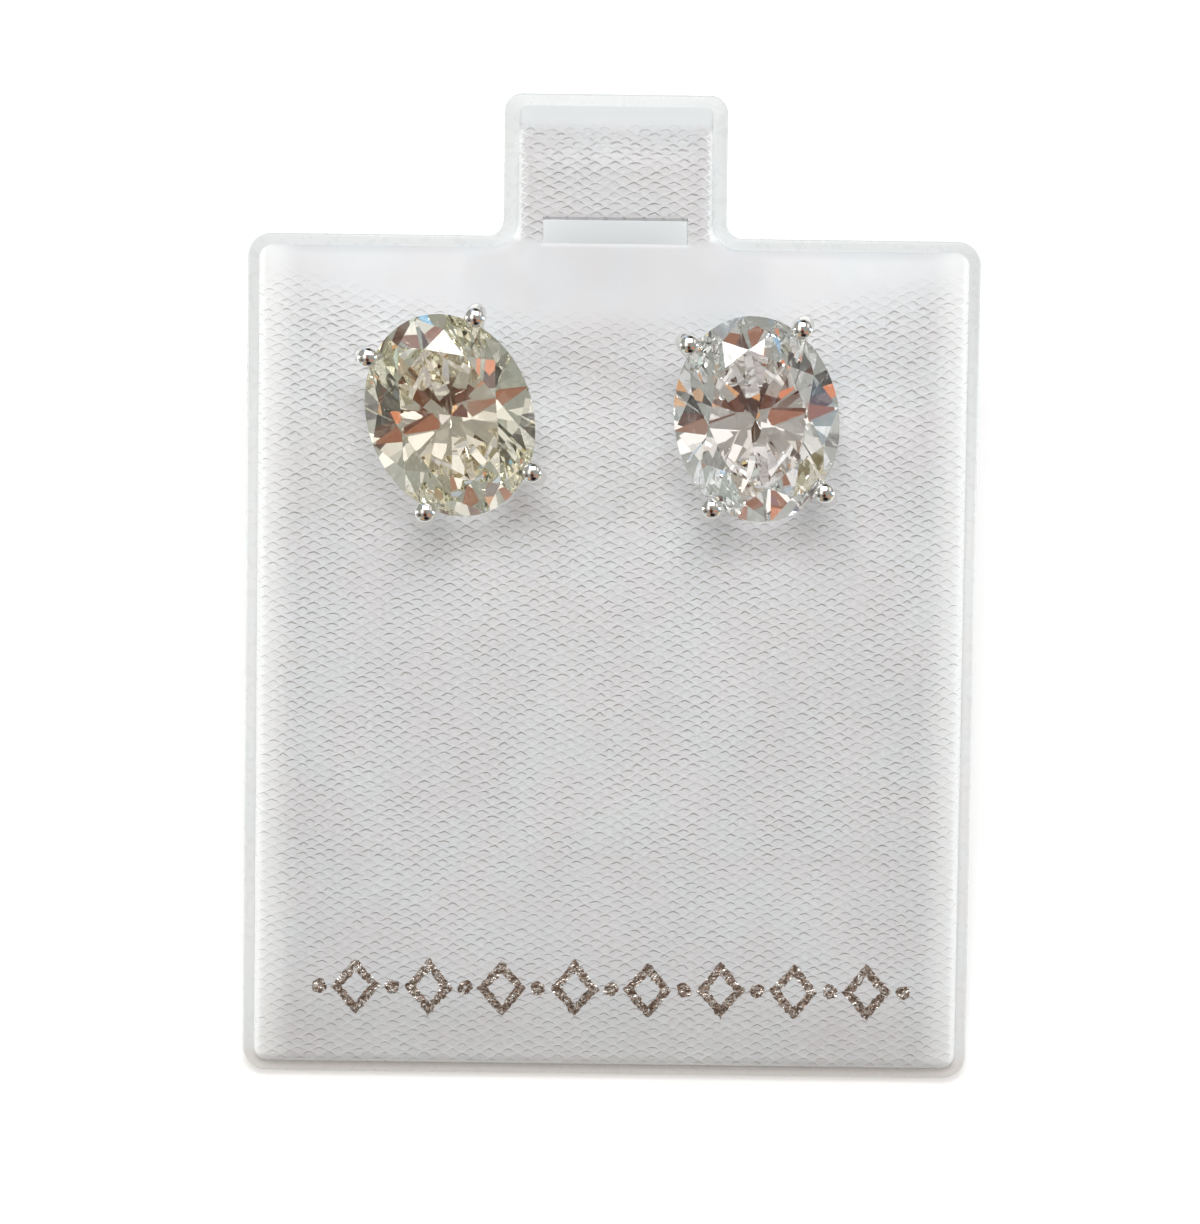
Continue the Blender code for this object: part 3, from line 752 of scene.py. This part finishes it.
def card_base_mesh():
    """The flat card with a rounded edge, its slot and its post holes."""
    shape = bmesh.new()
    edge_steps = 4
    sections = []
    for step in range(edge_steps + 1):
        angle = math.pi / 2 * step / edge_steps
        inset, height = BASE_EDGE_RADIUS * (1 - math.sin(angle)), BASE_EDGE_RADIUS * (1 - math.cos(angle))
        sections.append((inset, height))
    sections += [(inset, BORDER_THICKNESS - height) for inset, height in reversed(sections)]
    rings = [[shape.verts.new((*p, height)) for p in card_outline(inset)] for inset, height in sections]
    shape.faces.new(reversed(rings[0]))
    shape.faces.new(rings[-1])
    join_rings(shape, rings)
    mesh = mesh_from(shape, "card_base")
    slot = bmesh.new()
    size = (SLOT_WIDTH + 2 * BASE_SLOT_GAP, SLOT_HEIGHT + 2 * BASE_SLOT_GAP, 4 * BORDER_THICKNESS)
    bmesh.ops.create_cube(
        slot, size=1.0, matrix=Matrix.Translation((0.0, SLOT_CENTRE, 0.0)) @ Matrix.Diagonal((*size, 1))
    )
    tools = [mesh_from(slot, "slot")]
    for place in STUDS.values():
        hole = round_bar(POST_HOLE_RADIUS, POST_HOLE_RADIUS, -PAD_THICKNESS, PAD_THICKNESS, 32)
        hole.transform(place)
        tools.append(hole)
    mesh = combine(mesh, tools, "DIFFERENCE")
    shade_round(mesh, 40.0)
    return mesh


# The card's pad: a height field with the embossed lattice


def box_distance(x, y, low, high, radius):
    """Distance outside a rounded rectangle, negative inside."""
    across = np.abs(x - (low[0] + high[0]) / 2) - (high[0] - low[0]) / 2 + radius
    along = np.abs(y - (low[1] + high[1]) / 2) - (high[1] - low[1]) / 2 + radius
    outside = np.hypot(np.maximum(across, 0), np.maximum(along, 0))
    return outside + np.minimum(np.maximum(across, along), 0) - radius


def pad_depth(x, y):
    """Distance inside the pad's outline, with the round fillets at the foot of the tab."""
    body = box_distance(x, y, (-PAD_SIDE, PAD_BOTTOM), (PAD_SIDE, PAD_SHOULDER), PAD_CORNER_RADIUS)
    tab_low = (-PAD_TAB_SIDE, BODY_HEIGHT / 2)
    tab = box_distance(x, y, tab_low, (PAD_TAB_SIDE, PAD_TOP), PAD_TAB_CORNER_RADIUS)
    fillet = TAB_FILLET_RADIUS + BORDER_WIDTH
    joined = np.hypot(np.maximum(fillet - body, 0), np.maximum(fillet - tab, 0))
    return joined - np.maximum(fillet, np.minimum(body, tab))


def slot_distance(x, y):
    return box_distance(x, y, (-SLOT_SIDE, SLOT_LOW), (SLOT_SIDE, SLOT_HIGH), 0.0)


def stud_distance(x, y):
    """Distance from the nearest stud's post, and the angle round it."""
    best = None
    for place in STUDS.values():
        centre = place.translation
        away = np.hypot(x - centre.x, y - centre.y)
        angle = np.arctan2(y - centre.y, x - centre.x)
        if best is None:
            best = away, angle
        else:
            nearer = away < best[0]
            best = np.where(nearer, away, best[0]), np.where(nearer, angle, best[1])
    return best


def inside(x, y):
    """Positive on the pad's own area, and the distance to its outline or to a post hole."""
    return np.minimum(pad_depth(x, y), stud_distance(x, y)[0] - POST_HOLE_RADIUS)


def step_up(value, low, high):
    share = np.clip((value - low) / (high - low), 0, 1)
    return share * share * (3 - 2 * share)


def bell(away, width):
    return np.exp(-((away / width) ** 2))


def stamped_area(y):
    return 1 - step_up(y, STAMP_TOP, STAMP_TOP + STAMP_FADE)


def ripples(x, y, waves):
    """A sum of plane waves, each given by its wavelength, direction, start and height."""
    total = np.zeros_like(x)
    for wavelength, degrees, start, height in waves:
        along = x * math.cos(math.radians(degrees)) + y * math.sin(math.radians(degrees))
        total += height * np.sin(2 * math.pi * along / wavelength + start)
    return total


# Waves: wavelength, direction in degrees, start, height
SOFT_WAVES = (
    (21.0 * MM, 64.0, 0.4, 0.030 * MM),
    (13.5 * MM, -38.0, 2.1, 0.022 * MM),
    (8.7 * MM, 12.0, 4.0, 0.014 * MM),
    (5.9 * MM, 101.0, 1.3, 0.009 * MM),
)
SHIFT_WAVES_X = (
    (2.9 * MM, 71.0, 0.3, 0.050 * MM),
    (1.7 * MM, -24.0, 1.9, 0.035 * MM),
    (5.3 * MM, 15.0, 3.6, 0.060 * MM),
)
SHIFT_WAVES_Y = (
    (2.2 * MM, 8.0, 2.2, 0.032 * MM),
    (1.3 * MM, -63.0, 0.9, 0.022 * MM),
    (4.1 * MM, 48.0, 5.0, 0.035 * MM),
)
UNEVEN_WAVES = (
    (3.7 * MM, 33.0, 0.7, 0.10),
    (2.3 * MM, -52.0, 2.9, 0.10),
    (1.45 * MM, 78.0, 5.1, 0.09),
    (9.8 * MM, -12.0, 1.9, 0.10),
)


def lattice(x, y):
    """The two phases of the lattice: a ridge runs where one of them is a whole number."""
    return x / LOZENGE_WIDTH + y / LOZENGE_HEIGHT, x / LOZENGE_WIDTH - y / LOZENGE_HEIGHT


def ridge(phase):
    return bell(phase - np.round(phase), RIDGE_SPREAD)


def emboss_share(x, y):
    """How strong the emboss is: faint below the tab, flattened by the hot stamp lower down."""
    arch = ARCH_HEIGHT + ARCH_RISE * (np.abs(x) / PAD_SIDE) ** 2
    below_arch = 1 - step_up(y, arch + ARCH_FADE[0], arch + ARCH_FADE[1])
    on_tab = step_up(y, *TAB_EMBOSS_START) * (1 - step_up(y, *reversed(TAB_EMBOSS_END)))
    share = np.maximum(below_arch, on_tab) * (1 - STAMP_FLATTENING * stamped_area(y))
    share = share * (1 + ripples(x, y, UNEVEN_WAVES))
    share = share * step_up(pad_depth(x, y), *EMBOSS_EDGE)
    return share * step_up(stud_distance(x, y)[0], *EMBOSS_STUD)


def edge_roll(distance, edge):
    """The pad's level at a distance inside one of its sides, from the wall's share up to 1."""
    wall_share, width = edge
    return wall_share + (1 - wall_share) * np.sin(math.pi / 2 * np.clip(distance / width, 0, 1))


def edge_bulge(x, y):
    """The pad's rise, from 0 at the weld to 1: steep at the sides and soft at both ends."""
    wall = np.clip(pad_depth(x, y) / PAD_WALL_WIDTH, 0, 1)
    wall = (1 - (1 - wall) ** PAD_WALL_POWER) ** (1 / PAD_WALL_POWER)
    across = np.abs(x)
    on_tab = step_up(y, *PAD_TAB_BLEND)
    beside_tab = step_up(across, *PAD_SHOULDER_BLEND)
    return (
        wall
        * edge_roll(PAD_SIDE - across, PAD_EDGE_SIDE)
        * edge_roll(y - PAD_BOTTOM, PAD_EDGE_BOTTOM)
        * edge_roll(PAD_TOP - y, PAD_EDGE_TAB_TOP)
        * (1 - on_tab * (1 - edge_roll(PAD_TAB_SIDE - across, PAD_EDGE_TAB_SIDE)))
        * (1 - beside_tab * (1 - edge_roll(PAD_SHOULDER - y, PAD_EDGE_TOP)))
    )


def lattice_shift(x, y):
    """How far the pressed lattice wanders at a point of the pad."""
    free = step_up(pad_depth(x, y), *SHIFT_EDGE) * step_up(slot_distance(x, y), *SHIFT_SLOT)
    return free * ripples(x, y, SHIFT_WAVES_X), free * ripples(x, y, SHIFT_WAVES_Y)


def pad_height(x, y, pressed=None):
    """The pad's height at a point, whose place on the pressed lattice may be given."""
    share = step_up(pad_depth(x, y), 0, PAD_CALM_EDGE)
    rise = PAD_THICKNESS - BORDER_THICKNESS + PAD_SINK
    height = BORDER_THICKNESS - PAD_SINK + rise * edge_bulge(x, y)
    height = height + ripples(x, y, SOFT_WAVES) * share
    away, angle = stud_distance(x, y)
    height = height - DENT_DEPTH * bell(away, DENT_RADIUS)
    pucker = bell(away - PUCKER_RADIUS, PUCKER_WIDTH) * np.cos(PUCKER_COUNT * angle + PUCKER_START)
    height = height + PUCKER_HEIGHT * pucker * share
    height = height - STAMP_DEPTH * stamped_area(y) * share
    lip = np.clip(1 - slot_distance(x, y) / SLOT_LIP_WIDTH, 0, 1)
    height = height - SLOT_LIP_DEPTH * lip**2
    if pressed is None:
        shift_x, shift_y = lattice_shift(x, y)
        pressed = x - shift_x, y - shift_y
    one, other = lattice(*pressed)
    return height + RIDGE_HEIGHT * emboss_share(x, y) * np.maximum(ridge(one), ridge(other))


def grid_lines(low, high, step, fine_zones, exact):
    """Lines of a grid that follows the lattice, closer together in the fine zones."""
    lines = []
    for index in range(math.floor(low / step), math.ceil(high / step) + 1):
        start = index * step
        middle = abs(start + step / 2)
        parts = max([1] + [parts for near, far, parts in fine_zones if near < middle < far])
        lines += [start + step * part / parts for part in range(parts)]
    lines = np.array([line for line in lines if low - step / 2 < line < high + step / 2])
    for value in exact:
        lines[np.abs(lines - value).argmin()] = value
    lines.sort()
    return lines[(lines >= low) & (lines <= high)]


def pad_lines():
    """The grid's lines across and up the card, closer together at walls and round the slot."""
    wall = FINE_GRID_WIDTH
    across = grid_lines(
        -PAD_SIDE,
        PAD_SIDE,
        LOZENGE_WIDTH / CELLS_PER_LOZENGE,
        ((PAD_SIDE - wall, PAD_SIDE + wall, 4), (SLOT_SIDE - wall / 3, PAD_TAB_SIDE + 2 * wall, 2)),
        (-PAD_SIDE, -PAD_TAB_SIDE, -SLOT_SIDE, SLOT_SIDE, PAD_TAB_SIDE, PAD_SIDE),
    )
    along = grid_lines(
        PAD_BOTTOM,
        PAD_TOP,
        LOZENGE_HEIGHT / CELLS_PER_LOZENGE,
        (
            (0.0, PAD_BOTTOM + wall, 2),
            (PAD_SHOULDER - wall, SLOT_HIGH + wall / 4, 2),
            (PAD_TOP - wall, CARD_LENGTH, 2),
        ),
        (PAD_BOTTOM, PAD_SHOULDER, SLOT_LOW, SLOT_HIGH, PAD_TOP),
    )
    return across, along


def ridge_triangles(x, y):
    """The grid's cells that are on the pad, each split into two triangles along its ridge."""
    middle_x = (x[:-1, :-1] + x[1:, 1:]) / 2
    middle_y = (y[:-1, :-1] + y[1:, 1:]) / 2
    kept = (inside(middle_x, middle_y) > 0) & (slot_distance(middle_x, middle_y) > 0)
    number = np.arange(x.size).reshape(x.shape)
    a, b = number[:-1, :-1], number[:-1, 1:]
    c, d = number[1:, 1:], number[1:, :-1]
    one, other = lattice(middle_x, middle_y)
    falling = (np.abs(one - np.round(one)) < np.abs(other - np.round(other)))[..., None]
    halves = (((a, b, d), (a, b, c)), ((b, c, d), (a, c, d)))
    return np.concatenate(
        [np.where(falling, np.stack(fall, -1), np.stack(rise, -1))[kept] for fall, rise in halves]
    )


def onto_outline(x, y):
    """The points of the rim, moved onto the pad's outline unless they are at the slot."""
    at_slot = slot_distance(x, y) < MERGE_DISTANCE
    reach = 2 * MERGE_DISTANCE
    for _ in range(4):
        value = inside(x, y)
        slope_x = (inside(x + reach, y) - inside(x - reach, y)) / (2 * reach)
        slope_y = (inside(x, y + reach) - inside(x, y - reach)) / (2 * reach)
        size = np.maximum(slope_x**2 + slope_y**2, 0.25)
        x = np.where(at_slot, x, x - value * slope_x / size)
        y = np.where(at_slot, y, y - value * slope_y / size)
    return x, y


def pad_mesh():
    """The pad's top as triangles along the ridges, its walls and its hidden floor."""
    x, y = np.meshgrid(*pad_lines())
    used, triangles = np.unique(ridge_triangles(x, y), return_inverse=True)
    triangles = triangles.reshape(-1, 3)
    x, y = x.ravel()[used], y.ravel()[used]
    edges = np.concatenate([triangles[:, [0, 1]], triangles[:, [1, 2]], triangles[:, [2, 0]]])
    _, back, count = np.unique(np.sort(edges, 1), axis=0, return_inverse=True, return_counts=True)
    rim_edges = edges[count[back.ravel()] == 1]
    rim = np.unique(rim_edges)
    x[rim], y[rim] = onto_outline(x[rim], y[rim])

    shift_x, shift_y = lattice_shift(x, y)
    pressed = x, y
    x, y = x + shift_x, y + shift_y
    top = np.stack([x, y, pad_height(x, y, pressed)], -1)
    floor_number = np.full(len(top), -1)
    floor_number[rim] = len(top) + np.arange(len(rim))
    floor = np.stack([x[rim], y[rim], np.full(len(rim), PAD_FLOOR)], -1)
    walls = np.stack(
        [rim_edges[:, 1], rim_edges[:, 0], floor_number[rim_edges[:, 0]], floor_number[rim_edges[:, 1]]], -1
    )
    mesh = bpy.data.meshes.new("card_pad")
    mesh.from_pydata(np.concatenate([top, floor]).tolist(), [], triangles.tolist() + walls.tolist())
    places = np.stack([*pressed, np.zeros(len(top))], -1)
    places = np.concatenate([places, places[rim]])
    mesh.attributes.new(PRESSED, "FLOAT_VECTOR", "POINT").data.foreach_set("vector", places.ravel())
    shape = bmesh.new()
    shape.from_mesh(mesh)
    open_edges = [edge for edge in shape.edges if edge.is_boundary]
    bmesh.ops.triangle_fill(shape, use_beauty=False, edges=open_edges, normal=(0, 0, -1))
    bmesh.ops.recalc_face_normals(shape, faces=shape.faces)
    shape.to_mesh(mesh)
    shape.free()
    shade_round(mesh, 50.0)
    return mesh


# The stamped foil border


def bent_wave(first, second, first_length, second_length, bend):
    """A wave along the first coordinate, bent by one along the second."""
    return np.sin(first / first_length + bend * np.sin(second / second_length))


def foil_surface(shape, rows):
    """Faces between rows of points in the plane, laid on the pad with ragged edges."""
    grid = []
    for row in rows:
        x = np.array([p[0] for p in row])
        y = np.array([p[1] for p in row])
        wobble_x = FOIL_WOBBLE * bent_wave(x, y, 0.091 * MM, 0.123 * MM, 2.0)
        wobble_y = FOIL_WOBBLE * bent_wave(y, x, 0.083 * MM, 0.107 * MM, 2.0)
        crinkle = FOIL_CRINKLE * bent_wave(x, y, 0.047 * MM, 0.061 * MM, 3.0)
        x, y = x + wobble_x, y + wobble_y
        z = pad_height(x, y) + FOIL_LIFT + crinkle
        grid.append([shape.verts.new(p) for p in zip(x, y, z)])
    join_rings(shape, grid)
    return grid


def foil_mesh():
    """Alternate outlined lozenges and dots along a line, as thin as foil."""
    shape = bmesh.new()
    pitch = FOIL_LENGTH / FOIL_LOZENGES
    half_width = pitch / 2 - FOIL_DOT_RADIUS - FOIL_DOT_GAP
    half_height = FOIL_HEIGHT / 2
    edge_steps = 18
    stroke_steps = 4
    inward = FOIL_STROKE * math.hypot(half_width, half_height) / (half_width * half_height)
    for index in range(FOIL_LOZENGES):
        centre_x = FOIL_CENTRE.x + (index + 0.5) * pitch - FOIL_LENGTH / 2
        corners = ((half_width, 0), (0, half_height), (-half_width, 0), (0, -half_height))
        rows = []
        for stroke in range(stroke_steps + 1):
            size = 1 - inward * stroke / stroke_steps
            row = []
            for start, end in zip(corners, corners[1:] + corners[:1]):
                for step in range(edge_steps):
                    x, y = (a + (b - a) * step / edge_steps for a, b in zip(start, end))
                    row.append((centre_x + size * x, FOIL_CENTRE.y + size * y))
            rows.append(row)
        foil_surface(shape, rows)
    dot_steps = 20
    for index in range(FOIL_LOZENGES + 1):
        centre_x = FOIL_CENTRE.x + index * pitch - FOIL_LENGTH / 2
        rows = []
        for ring in (1.0, 0.66, 0.33):
            radius = FOIL_DOT_RADIUS * ring
            angles = [2 * math.pi * step / dot_steps for step in range(dot_steps)]
            rows.append(
                [(centre_x + radius * math.cos(a), FOIL_CENTRE.y + radius * math.sin(a)) for a in angles]
            )
        innermost = foil_surface(shape, rows)[-1]
        shape.faces.new(innermost)
    foil = new_object("foil_border", mesh_from(shape, "foil_border"))
    skin = foil.modifiers.new("skin", "SOLIDIFY")
    skin.thickness = FOIL_THICKNESS
    skin.offset = -1.0
    mesh = realised(foil)
    shade_round(mesh, 45.0)
    return mesh


# Studs: the silver basket and the ear nut


def through_knots(knots, steps):
    ends = [2 * knots[0] - knots[1], *knots, 2 * knots[-1] - knots[-2]]
    points = []
    for before, start, end, after in zip(ends, ends[1:], ends[2:], ends[3:]):
        for step in range(steps):
            t = step / steps
            bend = (2 * before - 5 * start + 4 * end - after) * t**2
            twist = (3 * start - before - 3 * end + after) * t**3
            points.append(0.5 * (2 * start + (end - before) * t + bend + twist))
    return [*points, knots[-1]]


def wire_mesh(points, radius, closed=False):
    data = bpy.data.curves.new("wire", "CURVE")
    data.dimensions = "3D"
    data.bevel_depth = radius
    data.bevel_resolution = 6
    data.use_fill_caps = not closed
    spline = data.splines.new("POLY")
    spline.points.add(len(points) - 1)
    for spline_point, point in zip(spline.points, points):
        spline_point.co = (*point, 1.0)
    spline.use_cyclic_u = closed
    mesh = realised(new_object("wire", data))
    shape = bmesh.new()
    shape.from_mesh(mesh)
    bmesh.ops.remove_doubles(shape, verts=shape.verts, dist=MERGE_DISTANCE)
    bmesh.ops.recalc_face_normals(shape, faces=shape.faces)
    return mesh_from(shape, "wire")


def tip_mesh(centre):
    """A prong's tip: a ball pressed flat on top."""
    lifted = Matrix.Translation(centre + Vector((0, 0, PRONG_TIP_LIFT)))
    place = lifted @ Matrix.Diagonal((1, 1, PRONG_TIP_FLATNESS, 1))
    shape = bmesh.new()
    bmesh.ops.create_uvsphere(shape, u_segments=40, v_segments=28, radius=PRONG_TIP_RADIUS, matrix=place)
    return mesh_from(shape, "tip")


def ellipse_point(half_width, half_length, angle):
    return Vector((half_width * math.cos(angle), half_length * math.sin(angle)))


def prong_knots(quarter):
    mirror_x = -1 if quarter in (1, 2) else 1
    mirror_y = -1 if quarter in (2, 3) else 1
    on_girdle = ellipse_point(STONE_WIDTH / 2, STONE_LENGTH / 2, PRONG_ANGLE)
    outwards = ellipse_point(1 / STONE_WIDTH, 1 / STONE_LENGTH, PRONG_ANGLE).normalized()
    tip = on_girdle + outwards * PRONG_OUTSIDE_GIRDLE
    girdle_centre = SEAT_HEIGHT + BASE_HEIGHT + STONE_GAP + PAVILION_DEPTH + GIRDLE_HEIGHT / 2
    rise = girdle_centre + PRONG_TIP_RISE - SEAT_HEIGHT
    return [
        Vector((mirror_x * tip.x * reach, mirror_y * tip.y * reach, SEAT_HEIGHT + rise * share))
        for reach, share in PRONG_BEND
    ]


def stone_shape(side):
    """The model's own stone in stud coordinates, as one shape with whole flat facets."""
    shape = bmesh.new()
    shape.from_mesh(frame["nodes"][f"{side}_stone"].data)
    bmesh.ops.remove_doubles(shape, verts=shape.verts, dist=MERGE_DISTANCE)
    shape.transform((CARD @ STUDS[side]).inverted())
    bmesh.ops.dissolve_limit(
        shape, angle_limit=math.radians(0.3), verts=shape.verts, edges=shape.edges, delimit=set()
    )
    bmesh.ops.recalc_face_normals(shape, faces=shape.faces)
    return shape


def brilliant_mesh(side):
    mesh = mesh_from(stone_shape(side), f"{side}_brilliant")
    mesh.shade_flat()
    return mesh


def seat_mesh(side):
    """The stone's shape a clearance larger, to cut its seat."""
    shape = stone_shape(side)
    heights = [v.co.z for v in shape.verts]
    middle = max(heights) - CROWN_HEIGHT - GIRDLE_HEIGHT / 2
    stone_size = STONE_WIDTH, STONE_LENGTH, CROWN_HEIGHT + PAVILION_DEPTH
    grow = Matrix.Diagonal((*(1 + 2 * STONE_CLEARANCE / size for size in stone_size), 1))
    centred = Matrix.Translation((0, 0, middle))
    shape.transform(centred @ grow @ centred.inverted())
    bmesh.ops.recalc_face_normals(shape, faces=shape.faces)
    return mesh_from(shape, "seat")


def basket_mesh(side):
    """The base, post, prongs and gallery ring of one stud, soldered into one solid."""
    base = round_bar(BASE_RADIUS, BASE_TOP_RADIUS, SEAT_HEIGHT, SEAT_HEIGHT + BASE_HEIGHT, 48)
    tip_slope = POST_RADIUS - POST_TIP_RADIUS
    tools = [
        round_bar(POST_RADIUS, POST_RADIUS, tip_slope - POST_DROP, SEAT_HEIGHT + BASE_HEIGHT / 2, 32),
        round_bar(POST_TIP_RADIUS, POST_RADIUS, -POST_DROP, tip_slope - POST_DROP, 32),
    ]
    knot = prong_knots(0)[GALLERY_KNOT_INDEX]
    across = math.hypot(knot.x * 2 / STONE_WIDTH, knot.y * 2 / STONE_LENGTH)
    ring_steps = 96
    ring = [
        ellipse_point(across * STONE_WIDTH / 2, across * STONE_LENGTH / 2, 2 * math.pi * i / ring_steps)
        for i in range(ring_steps)
    ]
    tools.append(wire_mesh([(*point, knot.z) for point in ring], GALLERY_RADIUS, closed=True))
    for quarter in range(4):
        knots = prong_knots(quarter)
        tools.append(wire_mesh(through_knots(knots, 9), PRONG_RADIUS))
        tools.append(tip_mesh(knots[-1]))
    basket = combine(base, tools, "UNION")
    basket = combine(basket, [seat_mesh(side)], "DIFFERENCE")
    basket.name = f"{side}_basket"
    shade_round(basket, 32.0)
    return basket


def nut_side(offset, mirror, steps=40):
    reach = POST_RADIUS + NUT_GRIP_CLEARANCE + NUT_STRIP / 2 + NUT_SCROLL_RADIUS
    centre_height = -NUT_GAP - NUT_STRIP / 2 - NUT_SCROLL_RADIUS
    radius = NUT_SCROLL_RADIUS + offset
    points = []
    for step in range(steps + 1):
        angle = math.pi / 2 - NUT_SCROLL_TURN * step / steps
        away = reach + radius * math.cos(angle)
        points.append((mirror * away, centre_height + radius * math.sin(angle)))
    return points


def nut_mesh():
    """The scroll nut, with its sharp edges eased and a bore for the post."""
    half = NUT_STRIP / 2
    outline = [
        *reversed(nut_side(half, -1)),
        *nut_side(half, 1),
        *reversed(nut_side(-half, 1)),
        *nut_side(-half, -1),
    ]
    shape = bmesh.new()
    front = [shape.verts.new((x, -NUT_LENGTH / 2, z)) for x, z in outline]
    back = [shape.verts.new((x, NUT_LENGTH / 2, z)) for x, z in outline]
    shape.faces.new(front)
    shape.faces.new(reversed(back))
    for i in range(len(front)):
        j = (i + 1) % len(front)
        shape.faces.new((front[j], front[i], back[i], back[j]))
    bmesh.ops.recalc_face_normals(shape, faces=shape.faces)
    bore_radius = POST_RADIUS + NUT_GRIP_CLEARANCE
    bore = round_bar(bore_radius, bore_radius, -POST_DROP, PAD_THICKNESS, 32)
    nut = new_object("ear_nut", combine(mesh_from(shape, "ear_nut"), [bore], "DIFFERENCE"))
    ease = nut.modifiers.new("ease", "BEVEL")
    ease.width = NUT_EASE
    ease.segments = 2
    ease.limit_method = "ANGLE"
    ease.angle_limit = math.radians(40.0)
    mesh = realised(nut)
    shade_round(mesh, 35.0)
    return mesh


# The floor, the light round the scene and the camera


def patch(place, centre, half, softness):
    """A soft oval round a place, by its X and Y."""
    scale = (1 / half[0], 1 / half[1], 0.0)
    location = (-centre[0] / half[0], -centre[1] / half[1], 0.0)
    away = vector_calc("LENGTH", moved(place, scale=scale, location=location))
    return span(away, 1.0, 1.0 - softness)


def make_floor():
    shape = bmesh.new()
    bmesh.ops.create_grid(shape, x_segments=1, y_segments=1, size=FLOOR_HALF_SIDE)
    floor = new_object("floor", mesh_from(shape, "floor"))
    material, shader, place = new_material("white_table", roughness=0.9)
    eye = CARD @ Vector(CAMERA_PLACE)
    shade = 0.0
    for height, half, softness in FLOOR_SHADES:
        towards = CARD @ Vector((0.0, height, 0.0)) - eye
        behind = eye - towards * eye.z / towards.z
        shade = calc("MAXIMUM", shade, patch(place, behind, half, softness))
    plug(shader["Base Color"], blend_colours(shade, FLOOR_WHITE, FLOOR_SHADED))
    plug(shader["Emission Strength"], span(shade, 1.0, 0.0, 0.0, FLOOR_GLOW))
    plug(shader["Emission Color"], (1.0, 1.0, 1.0, 1.0))
    plug(shader["Specular IOR Level"], FLOOR_GLOSS)
    floor.data.materials.append(material)


def make_world():
    world = bpy.data.worlds.new("studio")
    world.use_nodes = True
    bpy.context.scene.world = world
    nodes = world.node_tree.nodes
    turned = nodes.new("ShaderNodeMapping")
    turned.vector_type = "VECTOR"
    plug(turned.inputs["Rotation"], (-LEAN, 0.0, 0.0))
    plug(turned.inputs["Vector"], nodes.new("ShaderNodeTexCoord").outputs["Generated"])
    colour = SKY
    for centre, half, softness, tint in SKY_PATCHES:
        colour = blend_colours(patch(turned.outputs[0], centre, half, softness), colour, tint)
    plug(nodes["Background"].inputs["Color"], colour)
    plug(nodes["Background"].inputs["Strength"], 1.0)


def add_softbox(name, place, aim, size, power, seen_in_stones):
    """A rectangular soft light, placed and aimed in card coordinates."""
    data = bpy.data.lights.new(name, "AREA")
    data.shape = "RECTANGLE"
    data.size, data.size_y = size
    data.energy = power
    light = new_object(name, data)
    start = CARD @ Vector(place)
    towards = CARD @ Vector(aim) - start
    light.matrix_world = Matrix.Translation(start) @ towards.to_track_quat("-Z", "Y").to_matrix().to_4x4()
    light.visible_camera = False
    light.visible_transmission = seen_in_stones


def make_camera():
    data = bpy.data.cameras.new("camera")
    data.sensor_width = CAMERA_SENSOR
    data.lens = FOCAL_PIXELS / IMAGE_LONG_SIDE * CAMERA_SENSOR
    data.clip_start, data.clip_end = CAMERA_CLIP
    camera = new_object("camera", data)
    tilt_x, tilt_y, tilt_z = CAMERA_TILT
    turn = (
        Matrix.Rotation(tilt_z, 4, "Z") @ Matrix.Rotation(tilt_y, 4, "Y") @ Matrix.Rotation(tilt_x, 4, "X")
    )
    camera.matrix_world = CARD @ Matrix.Translation(CAMERA_PLACE) @ turn
    bpy.context.scene.camera = camera


def set_light_paths():
    """Enough bounces for light to find its way out of the stones."""
    scene = bpy.context.scene
    scene.view_settings.view_transform = "Standard"
    scene.cycles.max_bounces = STONE_BOUNCES + DIFFUSE_BOUNCES
    scene.cycles.glossy_bounces = STONE_BOUNCES
    scene.cycles.transmission_bounces = STONE_BOUNCES
    scene.cycles.diffuse_bounces = DIFFUSE_BOUNCES


def dress_object():
    silver = silver_material()
    base = add_piece("card_base", card_base_mesh(), border_material(), CARD)
    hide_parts("card")
    pad = add_piece("card_pad", pad_mesh(), pad_material(), CARD)
    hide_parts("card")
    add_piece("foil_border", foil_mesh(), foil_material(), CARD)
    for side, place in STUDS.items():
        basket = add_piece(f"{side}_basket", basket_mesh(side), silver, CARD @ place)
        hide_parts(f"{side}_setting")
        nut = add_piece(f"{side}_scroll_nut", nut_mesh(), silver, CARD @ place)
        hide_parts(f"{side}_ear_nut")
        crystal = stone_material(f"{side}_crystal", STONE_TINTS[side])
        stone = add_piece(f"{side}_brilliant", brilliant_mesh(side), crystal, CARD @ place)
        stone.visible_shadow = False
        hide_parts(f"{side}_stone")


dress_object()
make_floor()
make_world()
for softbox in SOFTBOXES:
    add_softbox(*softbox)
make_camera()
set_light_paths()
